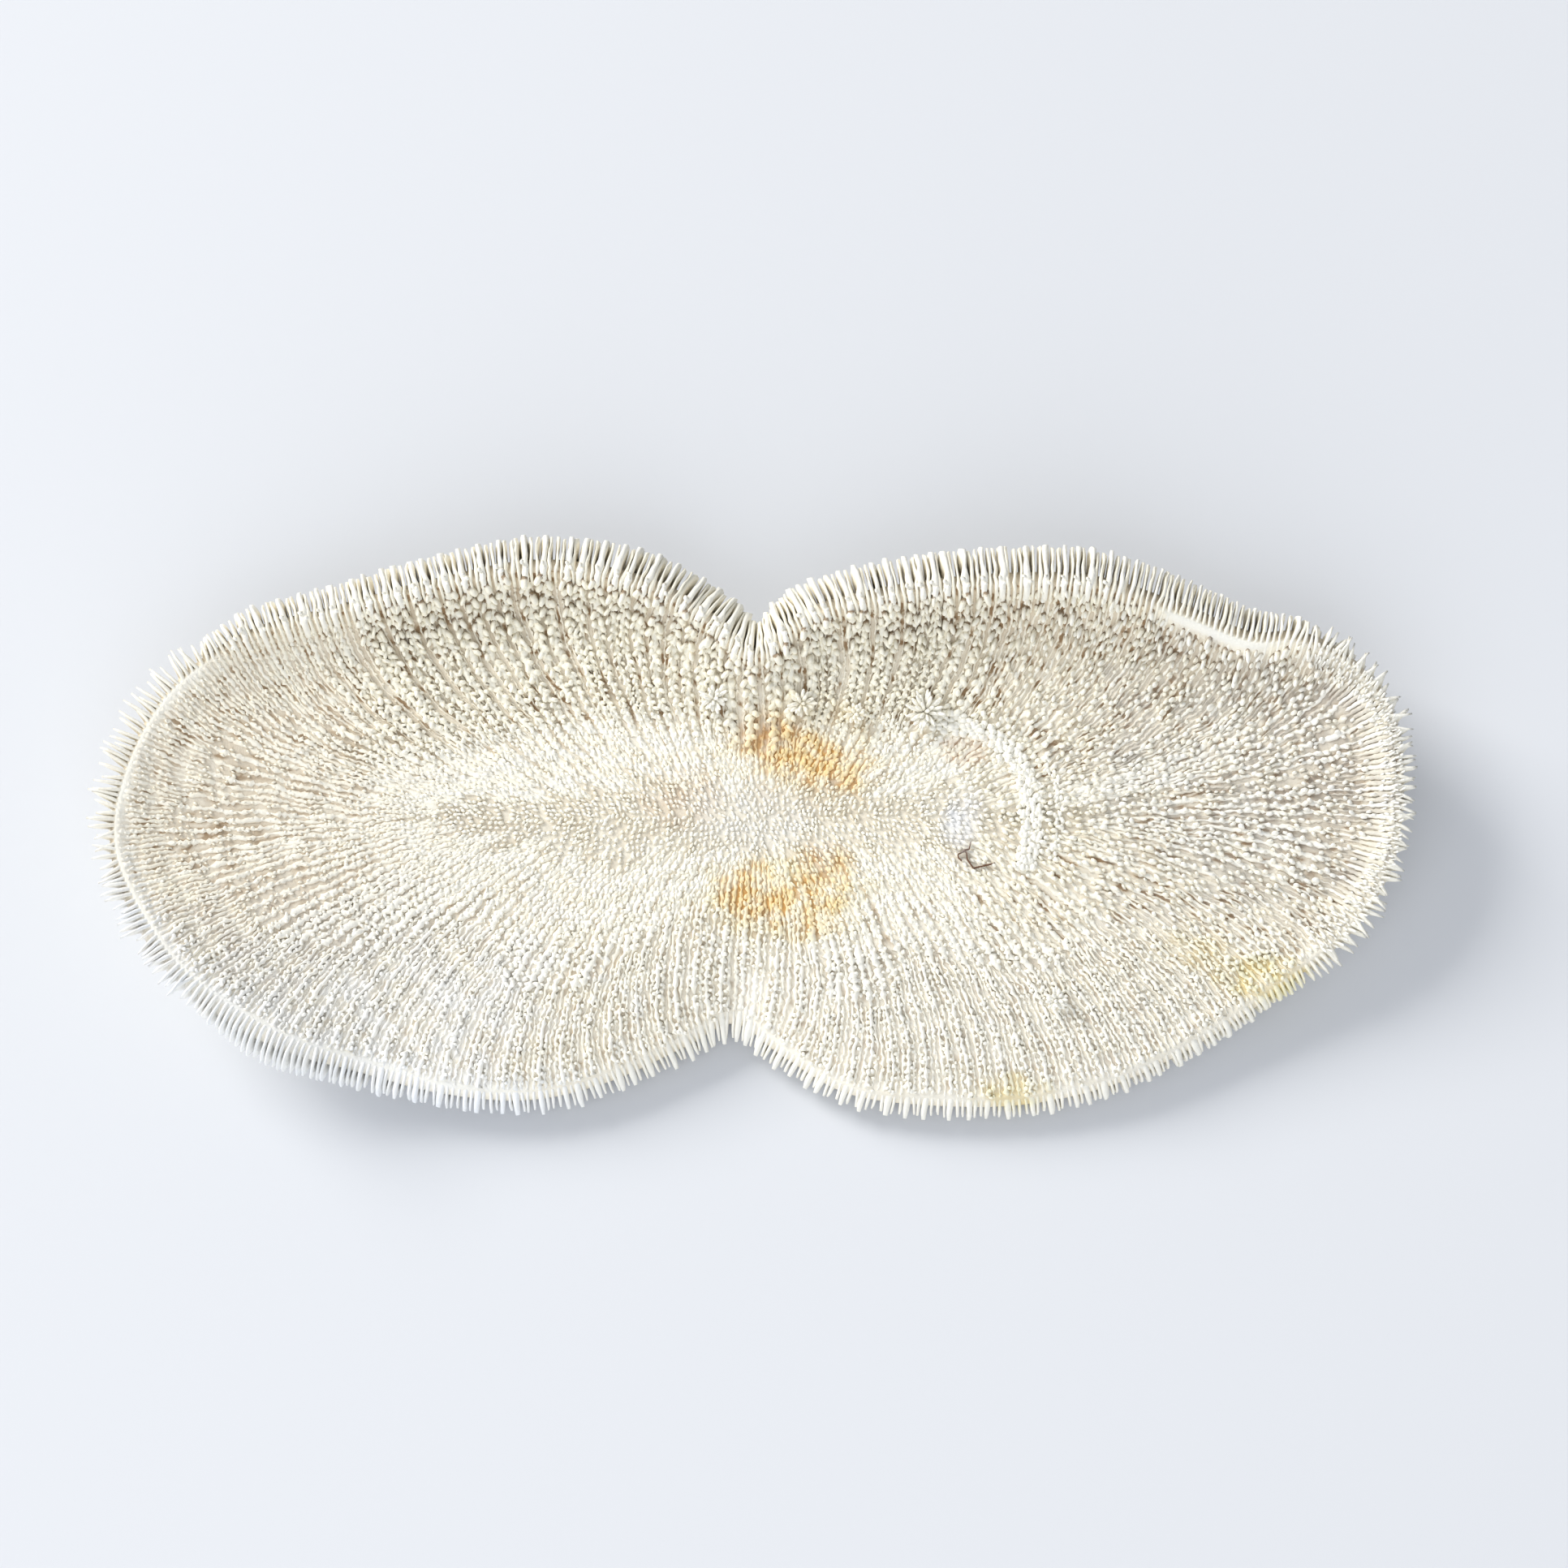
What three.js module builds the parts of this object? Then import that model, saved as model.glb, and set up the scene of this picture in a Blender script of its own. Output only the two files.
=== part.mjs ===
// The skeleton of a long mushroom coral, laid on its bladed mouth side with the ribbed underside up.
// Millimetres, +Z up, X along its length. The origin is the middle of its footprint, on the surface it lies on.
// It grew as one piece: a thin wall, ribs with spines above it, and upright blades below and round the rim.
import * as THREE from 'three';

// The start line is the long line over the mouth, which every rib grows away from.
const startHalfLength = 46;
const startY = -1;
const faceHeight = 12; // the ribbed face over the start line, above the ground
const wallThickness = 2;

// Ribs, as they are counted at the rim. Inward, half of them end, and then half of those.
const ribCount = 160;
const ribBend = 0.35; // how far before the rim a rib has turned square to it, as a share of its length
const spineAtStart = 1;
const spineAtRim = 2.1;
const notchInSpines = 0.55; // how much lower a rib is between two of its spines

// Blades on the mouth side
const groove = 5; // depth between two blades
const bladeGround = 0.4; // the least height of a blade's edge, outside the flat lips
const lipOuter = 0.2; // the flat lips beside the furrow, as shares of a rib's length
const lipInner = 0.06;
const furrowInner = 0.02;
const furrowDepth = 5;

// The rim of the wall, anticlockwise from the right end. Each knot has its x and y, its height,
// the slope of the wall there in degrees, how far the blades reach past it along that slope,
// and how deep the blades stand on its mouth side.
const rimKnots = [
  [109, -1, 17, 25, 2, 5],
  [108.5, 14, 18, 30, 2, 6],
  [102, 23, 20, 45, 2.5, 7],
  [93, 27.5, 21, 55, 2.5, 8],
  [84, 28, 20, 55, 2.5, 8],
  [71, 32.5, 22, 60, 2.5, 8.5],
  [56, 36, 25, 65, 2.5, 8.5],
  [38, 36, 25, 65, 2.5, 8.5],
  [21, 34, 24, 62, 2.5, 8.5],
  [8.5, 31, 22, 60, 2.5, 8],
  [-0.5, 25, 19, 55, 3.5, 8.5],
  [-9, 31.5, 20, 55, 2.5, 8],
  [-20, 37, 22, 60, 2.5, 8],
  [-37, 40, 22, 60, 2.5, 8],
  [-54, 37, 22, 60, 2.5, 7.5],
  [-72, 32.5, 21, 55, 2.5, 7],
  [-88, 28, 20, 50, 3, 7],
  [-100.5, 19, 19, 45, 3.5, 7],
  [-107.5, 5, 19, 45, 3.5, 5.5],
  [-108.5, -9, 19, 45, 3, 5.5],
  [-101, -23.5, 19, 45, 3.5, 6.5],
  [-93, -32, 18, 45, 3.5, 7],
  [-80, -39.5, 15, 35, 4, 7],
  [-66, -43.5, 10, 5, 5, 5],
  [-53, -47, 8, -15, 5, 4],
  [-39, -48, 7, -20, 5, 4],
  [-26, -45, 7, -20, 5, 4],
  [-13, -39, 7, -20, 5, 4],
  [-4, -34.5, 7, -15, 5.5, 4],
  [5, -40.5, 6, -20, 5, 3.5],
  [16, -47, 6, -20, 4.5, 3.5],
  [32, -49, 6, -20, 4.5, 3.5],
  [47, -48.5, 6, -20, 4.5, 3.5],
  [62, -45, 7, -18, 4, 4],
  [77, -37.5, 8, -12, 3.5, 4],
  [89, -29.5, 10, -5, 3, 4.5],
  [100, -21, 12, 8, 2.5, 5],
  [107, -10.5, 15, 18, 2, 5],
];

const rimLine = new THREE.CatmullRomCurve3(
  rimKnots.map(([x, y, height]) => new THREE.Vector3(x, y, height)), true, 'catmullrom', 0.5);
rimLine.arcLengthDivisions = 2000;
const rimForm = new THREE.CatmullRomCurve3(
  rimKnots.map(([, , , slope, reach, depth]) => new THREE.Vector3(slope, reach, depth)),
  true, 'catmullrom', 0.5);
const rimReach = Math.max(...rimKnots.map(([x]) => Math.abs(x)));
const squareWindow = 11 / rimLine.getLength(); // the rim's direction is read over this share each way

const wrap = (share) => ((share % 1) + 1) % 1;
const mix = (from, to, share) => from + (to - from) * share;

// One rib's line, by its place round the rim as a share from 0 to 1
function ribLine(around) {
  const rim = rimLine.getPointAt(wrap(around));
  const form = rimForm.getPoint(rimLine.getUtoTmapping(wrap(around)));
  const before = rimLine.getPointAt(wrap(around - squareWindow));
  const after = rimLine.getPointAt(wrap(around + squareWindow));
  const out = new THREE.Vector2(after.y - before.y, before.x - after.x).normalize();
  const start = new THREE.Vector2(startHalfLength * rim.x / rimReach, startY);
  const end = new THREE.Vector2(rim.x, rim.y);
  const length = start.distanceTo(end);
  const turn = end.clone().addScaledVector(out, -ribBend * length);
  const slope = THREE.MathUtils.degToRad(form.x);
  // The height along the rib is faceHeight + gentle s^2 + steep s^8, with the rim's height and slope at s = 1.
  const rise = rim.z - faceHeight;
  const steep = (Math.tan(slope) * 2 * ribBend * length - 2 * rise) / 6;
  return { start, turn, end, out, slope, rise, steep, reach: form.y, depth: form.z };
}

// The place on the ribbed face of the wall at share s of a rib, and the way that its spines point
function wallAt(rib, s) {
  const plan = new THREE.QuadraticBezierCurve(rib.start, rib.turn, rib.end);
  const place = plan.getPoint(s);
  const along = rib.turn.clone().sub(rib.start).multiplyScalar(2 * (1 - s));
  along.addScaledVector(rib.end.clone().sub(rib.turn), 2 * s);
  const gentle = rib.rise - rib.steep;
  const height = faceHeight + gentle * s ** 2 + rib.steep * s ** 8;
  const climb = 2 * gentle * s + 8 * rib.steep * s ** 7;
  const run = along.length();
  const normal = new THREE.Vector3(-along.x * climb / run, -along.y * climb / run, run).normalize();
  return { point: new THREE.Vector3(place.x, place.y, height), normal };
}

// The ribbed side: ribs stand above the wall, and every second ring cuts them into spines.
function ribbedPoint(rib, s, onRib, onSpine) {
  const { point, normal } = wallAt(rib, s);
  const height = mix(spineAtStart, spineAtRim, s) * (onSpine ? 1 : 1 - notchInSpines);
  return point.addScaledVector(normal, onRib ? height : 0);
}

// The rim: a blade's outline past the wall, by shares of its reach and of its depth
function rimPoint(rib, reachShare, depthShare) {
  const level = Math.cos(rib.slope);
  const upright = Math.sin(rib.slope);
  const outward = rib.reach * reachShare * level + rib.depth * depthShare * upright;
  const upward = rib.reach * reachShare * upright - rib.depth * depthShare * level;
  const wall = rib.end.clone().addScaledVector(rib.out, outward);
  const rimHeight = faceHeight + rib.rise;
  return new THREE.Vector3(wall.x, wall.y, Math.max(rimHeight + upward, bladeGround));
}

// The mouth side: blades hang below the wall, from the lips at the ground out to the rim.
function bladedPoint(rib, s, onBlade) {
  const { point, normal } = wallAt(rib, s);
  const outwards = THREE.MathUtils.smoothstep(s, lipOuter, 1);
  const depth = mix(faceHeight, rib.depth, outwards);
  const valley = Math.max(depth - groove, wallThickness);
  const place = point.addScaledVector(normal, -(onBlade ? depth : valley));
  place.z = Math.max(place.z, bladeGround);
  return place;
}

// A flat ring round the furrow, at a height of its own
function levelPoint(rib, s, height) {
  const { point } = wallAt(rib, s);
  return point.setZ(height);
}

// Rings from the middle of the ribbed face out, over the rim and back to the furrow.
// Each has the share of the ribs that it still shows, and its point for one rib or for the gap beside it.
const rings = [
  ...[0.05, 0.13, 0.2, 0.27, 0.34].map((s, i) => [4, (rib, onRib) => ribbedPoint(rib, s, onRib, i % 2 === 1)]),
  ...[0.42, 0.5, 0.57, 0.64].map((s, i) => [2, (rib, onRib) => ribbedPoint(rib, s, onRib, i % 2 === 1)]),
  ...[0.72, 0.79, 0.86, 0.93, 1].map((s, i) => [1, (rib, onRib) => ribbedPoint(rib, s, onRib, i % 2 === 1)]),
  [1, (rib, onRib) => (onRib ? rimPoint(rib, 0.85, 0.3) : rimPoint(rib, 0.15, 0.2))],
  [1, (rib, onRib) => (onRib ? rimPoint(rib, 1, 1) : rimPoint(rib, 0.2, 0.65))],
  [1, (rib, onRib) => (onRib ? rimPoint(rib, 0.1, 1.12) : rimPoint(rib, -0.3, 0.7))],
  ...[0.93, 0.82].map((s) => [1, (rib, onRib) => bladedPoint(rib, s, onRib)]),
  ...[0.64, 0.45].map((s) => [2, (rib, onRib) => bladedPoint(rib, s, onRib)]),
  [4, (rib) => levelPoint(rib, lipOuter, 0)],
  [4, (rib) => levelPoint(rib, lipInner, 0)],
  [4, (rib) => levelPoint(rib, furrowInner, furrowDepth)],
];

function ringPoints([ribsPerRidge, place]) {
  const columns = 2 * ribCount / ribsPerRidge;
  return Array.from({ length: columns }, (_, k) => place(ribLine(k / columns), k % 2 === 1));
}

// Joins two neighbouring rings with triangles. One of them may have twice as many points as the other.
function joinRings(inner, outer, triangles) {
  const steps = Math.min(inner.length, outer.length);
  for (let k = 0; k < steps; k += 1) {
    const next = (k + 1) % steps;
    if (inner.length === outer.length) {
      triangles.push([inner[k], outer[k], outer[next]]);
      triangles.push([inner[k], outer[next], inner[next]]);
    } else if (outer.length > inner.length) {
      const middle = outer[2 * k + 1];
      triangles.push([inner[k], outer[2 * k], middle]);
      triangles.push([inner[k], middle, inner[next]]);
      triangles.push([inner[next], middle, outer[2 * next]]);
    } else {
      const middle = inner[2 * k + 1];
      triangles.push([inner[2 * k], outer[k], middle]);
      triangles.push([middle, outer[k], outer[next]]);
      triangles.push([middle, outer[next], inner[2 * next]]);
    }
  }
}

// Closes the opening inside a ring with triangles, facing up or down.
function closeRing(ring, points, facesUp, triangles) {
  const outline = ring.map((index) => new THREE.Vector2(points[index].x, points[index].y));
  THREE.ShapeUtils.triangulateShape(outline, []).forEach(([a, b, c]) => {
    const corners = [ring[a], ring[b], ring[c]];
    triangles.push(facesUp ? corners : corners.reverse());
  });
}

function buildSkeleton() {
  const points = [];
  const loops = rings.map((ring) => ringPoints(ring).map((point) => points.push(point) - 1));
  const triangles = [];
  for (let i = 1; i < loops.length; i += 1) {
    joinRings(loops[i - 1], loops[i], triangles);
  }
  closeRing(loops[0], points, true, triangles);
  closeRing(loops[loops.length - 1], points, false, triangles);
  const geometry = new THREE.BufferGeometry().setFromPoints(points);
  geometry.setIndex(triangles.flat());
  geometry.computeBoundingBox();
  const middle = geometry.boundingBox.getCenter(new THREE.Vector3());
  geometry.translate(-middle.x, -middle.y, 0);
  geometry.computeVertexNormals();
  return geometry;
}

const coral = new THREE.MeshStandardMaterial({ color: '#e6dcc8', roughness: 0.92, metalness: 0 });
const skeleton = new THREE.Mesh(buildSkeleton(), coral);
skeleton.name = 'coral_skeleton';

const group = new THREE.Group();
group.add(skeleton);

export default group;
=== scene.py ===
# %% [markdown]
# # A long mushroom coral
# This lesson dresses the skeleton of a long mushroom coral. The solid model gives its outline and its
# folds. Here it gets what the eye looks for on a real one: hundreds of fine ribs, thousands of blunt
# spines, a fringe of thin blades round the rim, and the cream, tan and orange of old coral.

# %% Load the solid model
import math

import bpy
import numpy as np
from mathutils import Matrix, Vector


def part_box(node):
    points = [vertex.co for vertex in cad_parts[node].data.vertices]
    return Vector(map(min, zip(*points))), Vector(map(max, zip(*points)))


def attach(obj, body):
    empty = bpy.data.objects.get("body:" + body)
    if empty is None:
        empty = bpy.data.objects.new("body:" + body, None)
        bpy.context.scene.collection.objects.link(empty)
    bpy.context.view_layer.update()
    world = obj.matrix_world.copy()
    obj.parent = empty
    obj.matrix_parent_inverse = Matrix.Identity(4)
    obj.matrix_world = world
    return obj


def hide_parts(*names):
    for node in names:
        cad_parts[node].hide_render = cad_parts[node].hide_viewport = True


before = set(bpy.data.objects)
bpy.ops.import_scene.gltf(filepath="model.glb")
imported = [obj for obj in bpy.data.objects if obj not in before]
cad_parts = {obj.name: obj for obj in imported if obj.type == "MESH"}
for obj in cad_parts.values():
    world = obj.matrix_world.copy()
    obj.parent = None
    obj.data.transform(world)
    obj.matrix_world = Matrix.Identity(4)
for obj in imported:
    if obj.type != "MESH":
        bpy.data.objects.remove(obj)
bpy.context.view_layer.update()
coral_low, coral_high = (np.array(corner) * 1000 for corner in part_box("coral_skeleton"))
print("the solid coral, in mm:", coral_low.round(1), coral_high.round(1))

# %% [markdown]
# ## Camera
# The photo looks straight at the ribbed face. Here the coral lies with that face up, so the camera looks
# down on it, a little from the front. The coral sits left of the middle of the picture and below it, so
# the camera aims at a point beside the coral. Nothing is shifted in the lens.

# %% Place the camera
camera_height = math.radians(75)  # the angle of the view above the ground
camera_distance = 0.64  # m
sensor_width = 36  # mm
picture_width = 1932  # pixels
mm_per_pixel = 0.1396  # at the middle of the coral
coral_middle_pixel = (929, 1013)
face_height = 12  # mm, of the ribbed face over the middle

view_offset_x = (picture_width / 2 - coral_middle_pixel[0]) * mm_per_pixel
view_offset_y = (coral_middle_pixel[1] - picture_width / 2) * mm_per_pixel / math.sin(camera_height)
aim = Vector((view_offset_x, view_offset_y, face_height)) / 1000
camera_way = Vector((0, -math.cos(camera_height), math.sin(camera_height)))
camera_data = bpy.data.cameras.new("camera")
camera_data.sensor_width = sensor_width
camera_data.lens = sensor_width * camera_distance * 1000 / (picture_width * mm_per_pixel)
camera = bpy.data.objects.new("camera", camera_data)
camera.location = aim + camera_way * camera_distance
camera.rotation_euler = (-camera_way).to_track_quat("-Z", "Y").to_euler()
bpy.context.collection.objects.link(camera)
bpy.context.scene.camera = camera
print("lens", round(camera_data.lens, 1), "mm")


def to_pixel(places):
    """The pixel of the photo at which each place is seen. Places are in metres, in the coral's frame."""
    from_camera = np.asarray(places) - np.array(camera.location)
    view_up = np.array((0, math.sin(camera_height), math.cos(camera_height)))
    away = -(from_camera @ np.array(camera_way))
    zoom = camera_data.lens / camera_data.sensor_width * picture_width
    across = picture_width / 2 + zoom * from_camera[..., 0] / away
    down = picture_width / 2 - zoom * (from_camera @ view_up) / away
    return np.stack([across, down], axis=-1)

# %% [markdown]
# ## Floor and light
# The coral lies on a plain pale floor, and all of the picture is nearly white, with soft shadows. Only a
# large lamp gives a soft shadow, so area lamps are used. One is behind the coral and to its left: it gives
# the shade under the far rim and the shadow at the right end. A wider one in front lights the near side,
# and a pale sky fills the rest.

# %% Lay the floor
floor_size = 8  # m
floor_colour = (0.755, 0.77, 0.805)


def plain_surface(name, colour):
    material = bpy.data.materials.new(name)
    material.use_nodes = True
    surface = material.node_tree.nodes["Principled BSDF"]
    surface.inputs["Base Color"].default_value = (*colour, 1)
    surface.inputs["Roughness"].default_value = 0.9
    return material


bpy.ops.object.select_all(action="DESELECT")
bpy.ops.mesh.primitive_plane_add(size=floor_size)
floor = bpy.context.object
floor.name = "floor"
floor.data.materials.append(plain_surface("pale_floor", floor_colour))
print("the floor is", floor_size, "m wide")


# %% Hang the lamps
def soft_lamp(name, place, size, watts, colour):
    """A square lamp, size metres wide, that shines at the coral."""
    lamp = bpy.data.lights.new(name, "AREA")
    lamp.size = size
    lamp.energy = watts
    lamp.color = colour
    holder = bpy.data.objects.new(name, lamp)
    holder.location = place
    holder.rotation_euler = (aim - Vector(place)).to_track_quat("-Z", "Y").to_euler()
    bpy.context.collection.objects.link(holder)


soft_lamp("back_lamp", (-1.9, 1.4, 1.4), 1.3, 67, (1.0, 0.985, 0.95))
soft_lamp("front_lamp", (-0.4, -1.7, 1.3), 2.6, 32, (0.96, 0.98, 1.0))

sky = bpy.data.worlds.new("soft_sky")
sky.use_nodes = True
sky_light = sky.node_tree.nodes["Background"]
sky_light.inputs["Color"].default_value = (0.9, 0.94, 1.0, 1)
sky_light.inputs["Strength"].default_value = 0.44
bpy.context.scene.world = sky
bpy.context.scene.view_settings.view_transform = "Standard"
print("lamps:", len(bpy.data.lights))

# %% [markdown]
# ## How the coral grew
# Every rib of the real coral starts at the long line over its mouth and runs out to the rim, where it
# meets the edge square on. All that follows is placed by two numbers: how far round the rim a rib ends,
# and how far along the rib a thing sits. So the same few lines of maths carry wall, ribs, spines and
# blades, in millimetres, and the solid model was made from the same ones.

# %% The rim of the wall, and the form of the wall there
start_half_length = 46  # mm, of the line over the mouth
start_y = -1
rib_bend = 0.35  # how far before the rim a rib has turned square to it, as a share of its length
lip_outer = 0.2  # the blades are level with the ground up to this share of a rib
blade_ground = 0.4  # mm, the least height of a blade's edge past that
wall_thickness = 1.6

# Anticlockwise from the right end: x and y, height, slope in degrees, the blades' reach and depth
rim_knots = np.array([
    (109, -1, 17, 25, 2, 5),
    (108.5, 14, 18, 30, 2, 6),
    (102, 23, 20, 45, 2.5, 7),
    (93, 27.5, 21, 55, 2.5, 8),
    (84, 28, 20, 55, 2.5, 8),
    (71, 32.5, 22, 60, 2.5, 8.5),
    (56, 36, 25, 65, 2.5, 8.5),
    (38, 36, 25, 65, 2.5, 8.5),
    (21, 34, 24, 62, 2.5, 8.5),
    (8.5, 31, 22, 60, 2.5, 8),
    (-0.5, 25, 19, 55, 3.5, 8.5),
    (-9, 31.5, 20, 55, 2.5, 8),
    (-20, 37, 22, 60, 2.5, 8),
    (-37, 40, 22, 60, 2.5, 8),
    (-54, 37, 22, 60, 2.5, 7.5),
    (-72, 32.5, 21, 55, 2.5, 7),
    (-88, 28, 20, 50, 3, 7),
    (-100.5, 19, 19, 45, 3.5, 7),
    (-107.5, 5, 19, 45, 3.5, 5.5),
    (-108.5, -9, 19, 45, 3, 5.5),
    (-101, -23.5, 19, 45, 3.5, 6.5),
    (-93, -32, 18, 45, 3.5, 7),
    (-80, -39.5, 15, 35, 4, 7),
    (-66, -43.5, 10, 5, 5, 5),
    (-53, -47, 8, -15, 5, 4),
    (-39, -48, 7, -20, 5, 4),
    (-26, -45, 7, -20, 5, 4),
    (-13, -39, 7, -20, 5, 4),
    (-4, -34.5, 7, -15, 5.5, 4),
    (5, -40.5, 6, -20, 5, 3.5),
    (16, -47, 6, -20, 4.5, 3.5),
    (32, -49, 6, -20, 4.5, 3.5),
    (47, -48.5, 6, -20, 4.5, 3.5),
    (62, -45, 7, -18, 4, 4),
    (77, -37.5, 8, -12, 3.5, 4),
    (89, -29.5, 10, -5, 3, 4.5),
    (100, -21, 12, 8, 2.5, 5),
    (107, -10.5, 15, 18, 2, 5),
])


def smooth_loop(knots, turns):
    """Points on a smooth closed curve through the knots, by turns from 0 to 1."""
    place = (np.asarray(turns) % 1) * len(knots)
    first = np.floor(place).astype(int)
    t = (place - first)[:, None]
    k0, k1, k2, k3 = (knots[(first + step) % len(knots)] for step in (-1, 0, 1, 2))
    leave = (k2 - k0) / 2
    arrive = (k3 - k1) / 2
    square = -3 * k1 + 3 * k2 - 2 * leave - arrive
    cube = 2 * k1 - 2 * k2 + leave + arrive
    return k1 + leave * t + square * t**2 + cube * t**3


fine_turns = np.linspace(0, 1, 4001)
fine_steps = np.linalg.norm(np.diff(smooth_loop(rim_knots[:, :3], fine_turns), axis=0), axis=1)
rim_walk = np.concatenate([[0], np.cumsum(fine_steps)])
rim_length = rim_walk[-1]
print("round the rim:", rim_length.round(1), "mm")


def rim_at(around):
    """The rim's form at each share of the way round it."""
    turns = np.interp((np.asarray(around) % 1) * rim_length, rim_walk, fine_turns)
    return smooth_loop(rim_knots, turns)


# %% The line of a rib, and the wall along it
square_window = 11 / rim_length  # the rim's direction is read over this share each way


class Ribs:
    """Rib lines that end at the given shares of the way round the rim."""

    def __init__(self, around):
        around = np.asarray(around, float)
        form = rim_at(around)
        chord = rim_at(around + square_window)[:, :2] - rim_at(around - square_window)[:, :2]
        out = np.stack([chord[:, 1], -chord[:, 0]], axis=1)
        self.around = around
        self.out = out / np.linalg.norm(out, axis=1, keepdims=True)
        self.end = form[:, :2]
        start_x = start_half_length * form[:, 0] / np.abs(rim_knots[:, 0]).max()
        self.start = np.stack([start_x, np.full_like(start_x, start_y)], axis=1)
        self.length = np.linalg.norm(self.end - self.start, axis=1)
        self.turn = self.end - self.out * (rib_bend * self.length)[:, None]
        self.slope = np.radians(form[:, 3])
        self.rise = form[:, 2] - face_height
        self.steep = (np.tan(self.slope) * 2 * rib_bend * self.length - 2 * self.rise) / 6
        self.reach = form[:, 4]
        self.depth = form[:, 5]

    def pick(self, chosen):
        """The same rib lines again, in another order or number."""
        copy = object.__new__(Ribs)
        copy.__dict__ = {name: values[chosen] for name, values in self.__dict__.items()}
        return copy


def wall_at(ribs, s):
    """The ribbed face at share s of each rib: its place, the way off the wall, and the way along the rib."""
    s = np.broadcast_to(s, ribs.length.shape)
    t = s[:, None]
    plan = (1 - t) ** 2 * ribs.start + 2 * t * (1 - t) * ribs.turn + t**2 * ribs.end
    along = 2 * (1 - t) * (ribs.turn - ribs.start) + 2 * t * (ribs.end - ribs.turn)
    run = np.linalg.norm(along, axis=1)
    gentle = ribs.rise - ribs.steep
    height = face_height + gentle * s**2 + ribs.steep * s**8
    climb = (2 * gentle * s + 8 * ribs.steep * s**7) / run
    flat = along / run[:, None]
    normal = np.column_stack([-flat * climb[:, None], np.ones(len(s))])
    forward = np.column_stack([flat, climb])
    size = np.sqrt(1 + climb**2)[:, None]
    return np.column_stack([plan, height]), normal / size, forward / size


def rim_place(ribs, reach_share, depth_share):
    """A place past the rim, by shares of the blades' reach and depth there."""
    level = np.cos(ribs.slope)
    upright = np.sin(ribs.slope)
    outward = ribs.reach * reach_share * level + ribs.depth * depth_share * upright
    upward = ribs.reach * reach_share * upright - ribs.depth * depth_share * level
    plan = ribs.end + ribs.out * outward[:, None]
    return np.column_stack([plan, np.maximum(face_height + ribs.rise + upward, blade_ground)])


# %% Find the middle, and make the left end gentler
# The solid's middle is the middle of the box round its rim teeth.
tooth_count = 160
tooth_corners = ((0.85, 0.3), (1, 1), (0.1, 1.12))  # shares of the blades' reach and depth
solid_teeth = Ribs((np.arange(tooth_count) + 0.5) / tooth_count)
tooth_points = np.concatenate([rim_place(solid_teeth, *corner) for corner in tooth_corners])
growth_middle = (tooth_points[:, :2].max(axis=0) + tooth_points[:, :2].min(axis=0)) / 2
reach_box = tooth_points[:, :2].max(axis=0) - growth_middle
print("half sizes by the ribs", reach_box.round(2), "and of the solid", coral_high[:2].round(2))

# The left end and the near left rim are bright all over in the photo, so the wall there gets a gentler
# slope than the solid's.
gentle_slope = 27  # degrees
at_left_end = (rim_knots[:, 0] < -100) | ((rim_knots[:, 0] < -75) & (rim_knots[:, 1] < 0))
rim_knots[at_left_end, 3] = np.minimum(rim_knots[at_left_end, 3], gentle_slope)

# %% [markdown]
# ## A gentle wander
# Nothing that grows is ruled with a ruler. This moves every point of the face sideways by a fraction of a
# millimetre, in slow waves, so neighbours move together. It fades out at the rim, where sizes count.

# %% Slow waves, and the step from millimetres to Blender's metres
wander_size = 0.35  # mm
# Each wave's turning along x and along y, in radians per mm, and where it starts
wander_waves = [
    (0.31, 0.12, 0.4), (-0.17, 0.36, 1.9), (0.52, -0.41, 3.1), (-0.63, -0.22, 5.0), (0.9, 0.75, 2.2),
]


def slow_waves(x, y, shift=0.0):
    """A smooth wavy value from about -1 to 1 at each place."""
    waves = [np.sin(a * x + b * y + c + shift * (i + 1)) for i, (a, b, c) in enumerate(wander_waves)]
    return sum(waves) / 3


def wander(points, s):
    """Moves points sideways by slow waves, less and less towards the rim."""
    x, y = points[:, 0], points[:, 1]
    fade = wander_size * (1 - np.clip(s, 0, 1) ** 6)
    moved = points.copy()
    moved[:, 0] += fade * slow_waves(x, y)
    moved[:, 1] += fade * slow_waves(x, y, 1.7)
    return moved


def to_frame(points):
    """Millimetres from the middle of growth to metres in the coral's own frame."""
    shifted = points - np.array([*growth_middle, 0])
    return shifted / 1000


def smoothstep(low, high, value):
    t = np.clip((value - low) / (high - low), 0, 1)
    return t * t * (3 - 2 * t)


def unit(vectors):
    return vectors / np.linalg.norm(vectors, axis=-1, keepdims=True)


# All that is uneven comes from one seeded source, so every run gives the same coral.
chance = np.random.default_rng(7)


def spread(low, high, count):
    """Uneven values, from low to high."""
    return chance.uniform(low, high, count)


print("slow waves add up to", slow_waves(fine_turns * 100, 0).min().round(2),
      "to", slow_waves(fine_turns * 100, 0).max().round(2))

# %% [markdown]
# ## Which ribs reach how far in
# There is no room for all the ribs in the middle. A new rib starts wherever its neighbours have drifted
# far enough apart, which is how the real coral adds them. Every third or so is a main rib: it starts
# first, and it is thicker and whiter.

# %% Choose the main ribs
rib_count = 512
all_ribs = Ribs((np.arange(rib_count) + 0.5) / rib_count)
is_main = np.zeros(rib_count, bool)
rib = 0
while rib < rib_count - 1:
    is_main[rib] = True
    rib += int(chance.choice((2, 3, 4), p=(0.3, 0.45, 0.25)))
print("main ribs:", int(is_main.sum()), "of", rib_count)

# %% Find where each rib starts
row_gap = 0.76  # mm, the room that a new rib needs on either side
first_ring = 3  # no rib starts nearer to the start line

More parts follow.
